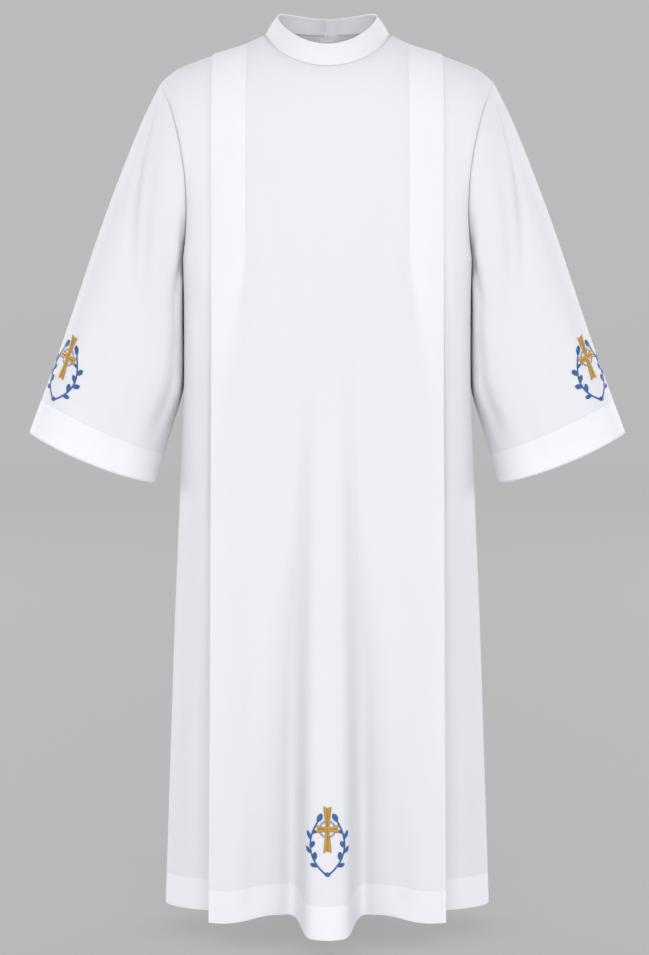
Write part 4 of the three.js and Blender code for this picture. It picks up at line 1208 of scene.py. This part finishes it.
emblemPlace = {"aboveHem": 97, "aboveCuff": 66, "toFront": 40}
hemLine = len(sleeveRings) - 1 - int(np.argmin(np.abs(sleeveRings - 6)))
frontRow = anchorRow(frontGrid, middle, hemTop, emblemPlace["aboveHem"])
emblemPlaces = [("front", frontGrid, frontRow, middle)]
for side, edge, way in (("left", 59, -1), ("right", 60, 1)):
    # its columns start under the arm, so that the outer edge is in the middle of the grid
    grid = np.roll(sleeves[side]["grid"], 60, axis=1)
    row = anchorRow(grid, edge, hemLine, emblemPlace["aboveCuff"])
    run = np.concatenate([[0], np.cumsum(np.linalg.norm(np.diff(grid[row], axis=0), axis=1))])
    column = int(np.argmin(np.abs(run - run[edge] - way * emblemPlace["toFront"])))
    emblemPlaces.append(("sleeve_" + side, grid, row, column))

threadShapes = {"ring": (ringThreads, 0.25), "wreath": (wreathThreads, 0.3), "cross": (crossThreads, 0.75)}
for place, grid, row, column in emblemPlaces:
    for shape, (threads, lift) in threadShapes.items():
        lines, out = layOn(grid, row, column, threads(lift))
        name = "embroidered" + "".join(w.title() for w in place.split("_")) + shape.title()
        piece = tubes(name, lines, out, embroidery["wide"], embroidery["high"], embroideryThreads[shape])
        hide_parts(f"motif_{place}_{shape}")
print("embroidery built")


# floor, light and camera
studio = {
    "floorZ": -1.4,
    "flatRadius": 9,  # the floor turns up into the backdrop beyond this
    "bendRadius": 5,
    "tone": 0.475,
    "glowTone": 0.478,
    "glow": 0.7,
    "farGlow": 1.2,
    "ambient": 0.9,
}


def makeFloor():
    flat, bend = studio["flatRadius"], studio["bendRadius"]
    rings = [(flat / 3, 0), (flat * 2 / 3, 0), (flat, 0)]
    for a in np.radians(np.arange(5, 91, 5)):
        rings.append((flat + bend * math.sin(a), bend - bend * math.cos(a)))
    rings += [(flat + bend, flat), (flat + bend, flat + bend)]
    around = 96
    verts = []
    for r, h in rings:
        for i in range(around):
            t = 2 * math.pi * i / around
            verts.append((r * math.cos(t) / mm, r * math.sin(t) / mm, (studio["floorZ"] + h) / mm))
    verts.append((0, 0, studio["floorZ"] / mm))
    faces = [(len(verts) - 1, i, (i + 1) % around) for i in range(around)]
    for j in range(len(rings) - 1):
        for i in range(around):
            k = (i + 1) % around
            faces.append((j * around + i, (j + 1) * around + i, (j + 1) * around + k, j * around + k))
    material, tree, shader = startMaterial("plain studio grey")
    place = addNode(tree, "ShaderNodeTexCoord", (-900, 0))
    patch = useGroup(tree, patches, (-600, 0))
    tree.links.new(place.outputs["Object"], patch.inputs["Place"])
    patch.inputs["Size"].default_value = 30.0
    tree.links.new(rangeOf(tree, patch.outputs["Mask"], 0.85, 0.95, (-300, 0)), shader.inputs["Roughness"])
    shader.inputs["Base Color"].default_value = (studio["tone"],) * 3 + (1,)
    shader.inputs["Specular IOR Level"].default_value = 0.1
    glow = addNode(tree, "ShaderNodeEmission", (0, -300))
    glow.inputs["Color"].default_value = (studio["glowTone"],) * 3 + (1,)
    far = addNode(tree, "ShaderNodeVectorMath", (-600, -300), operation="LENGTH")
    tree.links.new(place.outputs["Object"], far.inputs[0])
    reach = addNode(tree, "ShaderNodeMapRange", (-300, -300))
    settings = {"From Min": 1.5, "From Max": 14.0, "To Min": 1.0, "To Max": studio["farGlow"]}
    for label, value in settings.items():
        reach.inputs[label].default_value = value
    tree.links.new(far.outputs["Value"], reach.inputs["Value"])
    tree.links.new(reach.outputs["Result"], glow.inputs["Strength"])
    blend = addNode(tree, "ShaderNodeMixShader", (250, 0))
    blend.inputs["Fac"].default_value = studio["glow"]
    tree.links.new(shader.outputs[0], blend.inputs[1])
    tree.links.new(glow.outputs[0], blend.inputs[2])
    tree.links.new(blend.outputs[0], tree.nodes["Material Output"].inputs["Surface"])
    floor = makeObject("studioFloor", verts, faces, material)


makeFloor()


def placed(name, data, place, aim):
    holder = bpy.data.objects.new(name, data)
    holder.location = place
    holder.rotation_euler = (Vector(aim) - Vector(place)).to_track_quat("-Z", "Y").to_euler()
    bpy.context.scene.collection.objects.link(holder)
    return holder


def softLight(name, place, aim, size, power, colour):
    lamp = bpy.data.lights.new(name, "AREA")
    lamp.shape = "RECTANGLE"
    lamp.size, lamp.size_y = size
    lamp.energy = power
    lamp.color = colour
    placed(name, lamp, place, aim)


# one wide box in front, and a smaller one at each side and behind each shoulder
warm, cool = (1, 0.995, 0.99), (0.98, 0.98, 1)
softLight("frontBox", (0, -6.5, 0), (0, 0, -0.95), (4.8, 1.8), 212, warm)
for side, way in (("left", -1), ("right", 1)):
    softLight(side + "Box", (way * 3.8, -2.8, -0.4), (0, 0, -1), (1.8, 2.2), 62, cool)
for side, way in (("Left", -1), ("Right", 1)):
    softLight("back" + side + "Box", (way * 5.5, 4.2, 0.6), (0, 0, -0.5), (2.5, 2.5), 200, cool)

world = bpy.data.worlds.new("studio air")
world.use_nodes = True
world.node_tree.nodes["Background"].inputs["Color"].default_value = (0.96, 0.98, 1, 1)
world.node_tree.nodes["Background"].inputs["Strength"].default_value = studio["ambient"]
bpy.context.scene.world = world
bpy.context.scene.view_settings.view_transform = "Standard"

view = {"place": (-0.0044, -3.2, -0.45), "aim": (-0.0044, 0, -0.6828), "lens": 77.2}
camera = bpy.data.cameras.new("camera")
camera.lens = view["lens"]
camera.sensor_width = 36
bpy.context.scene.camera = placed("camera", camera, view["place"], view["aim"])
print("floor, light and camera set")
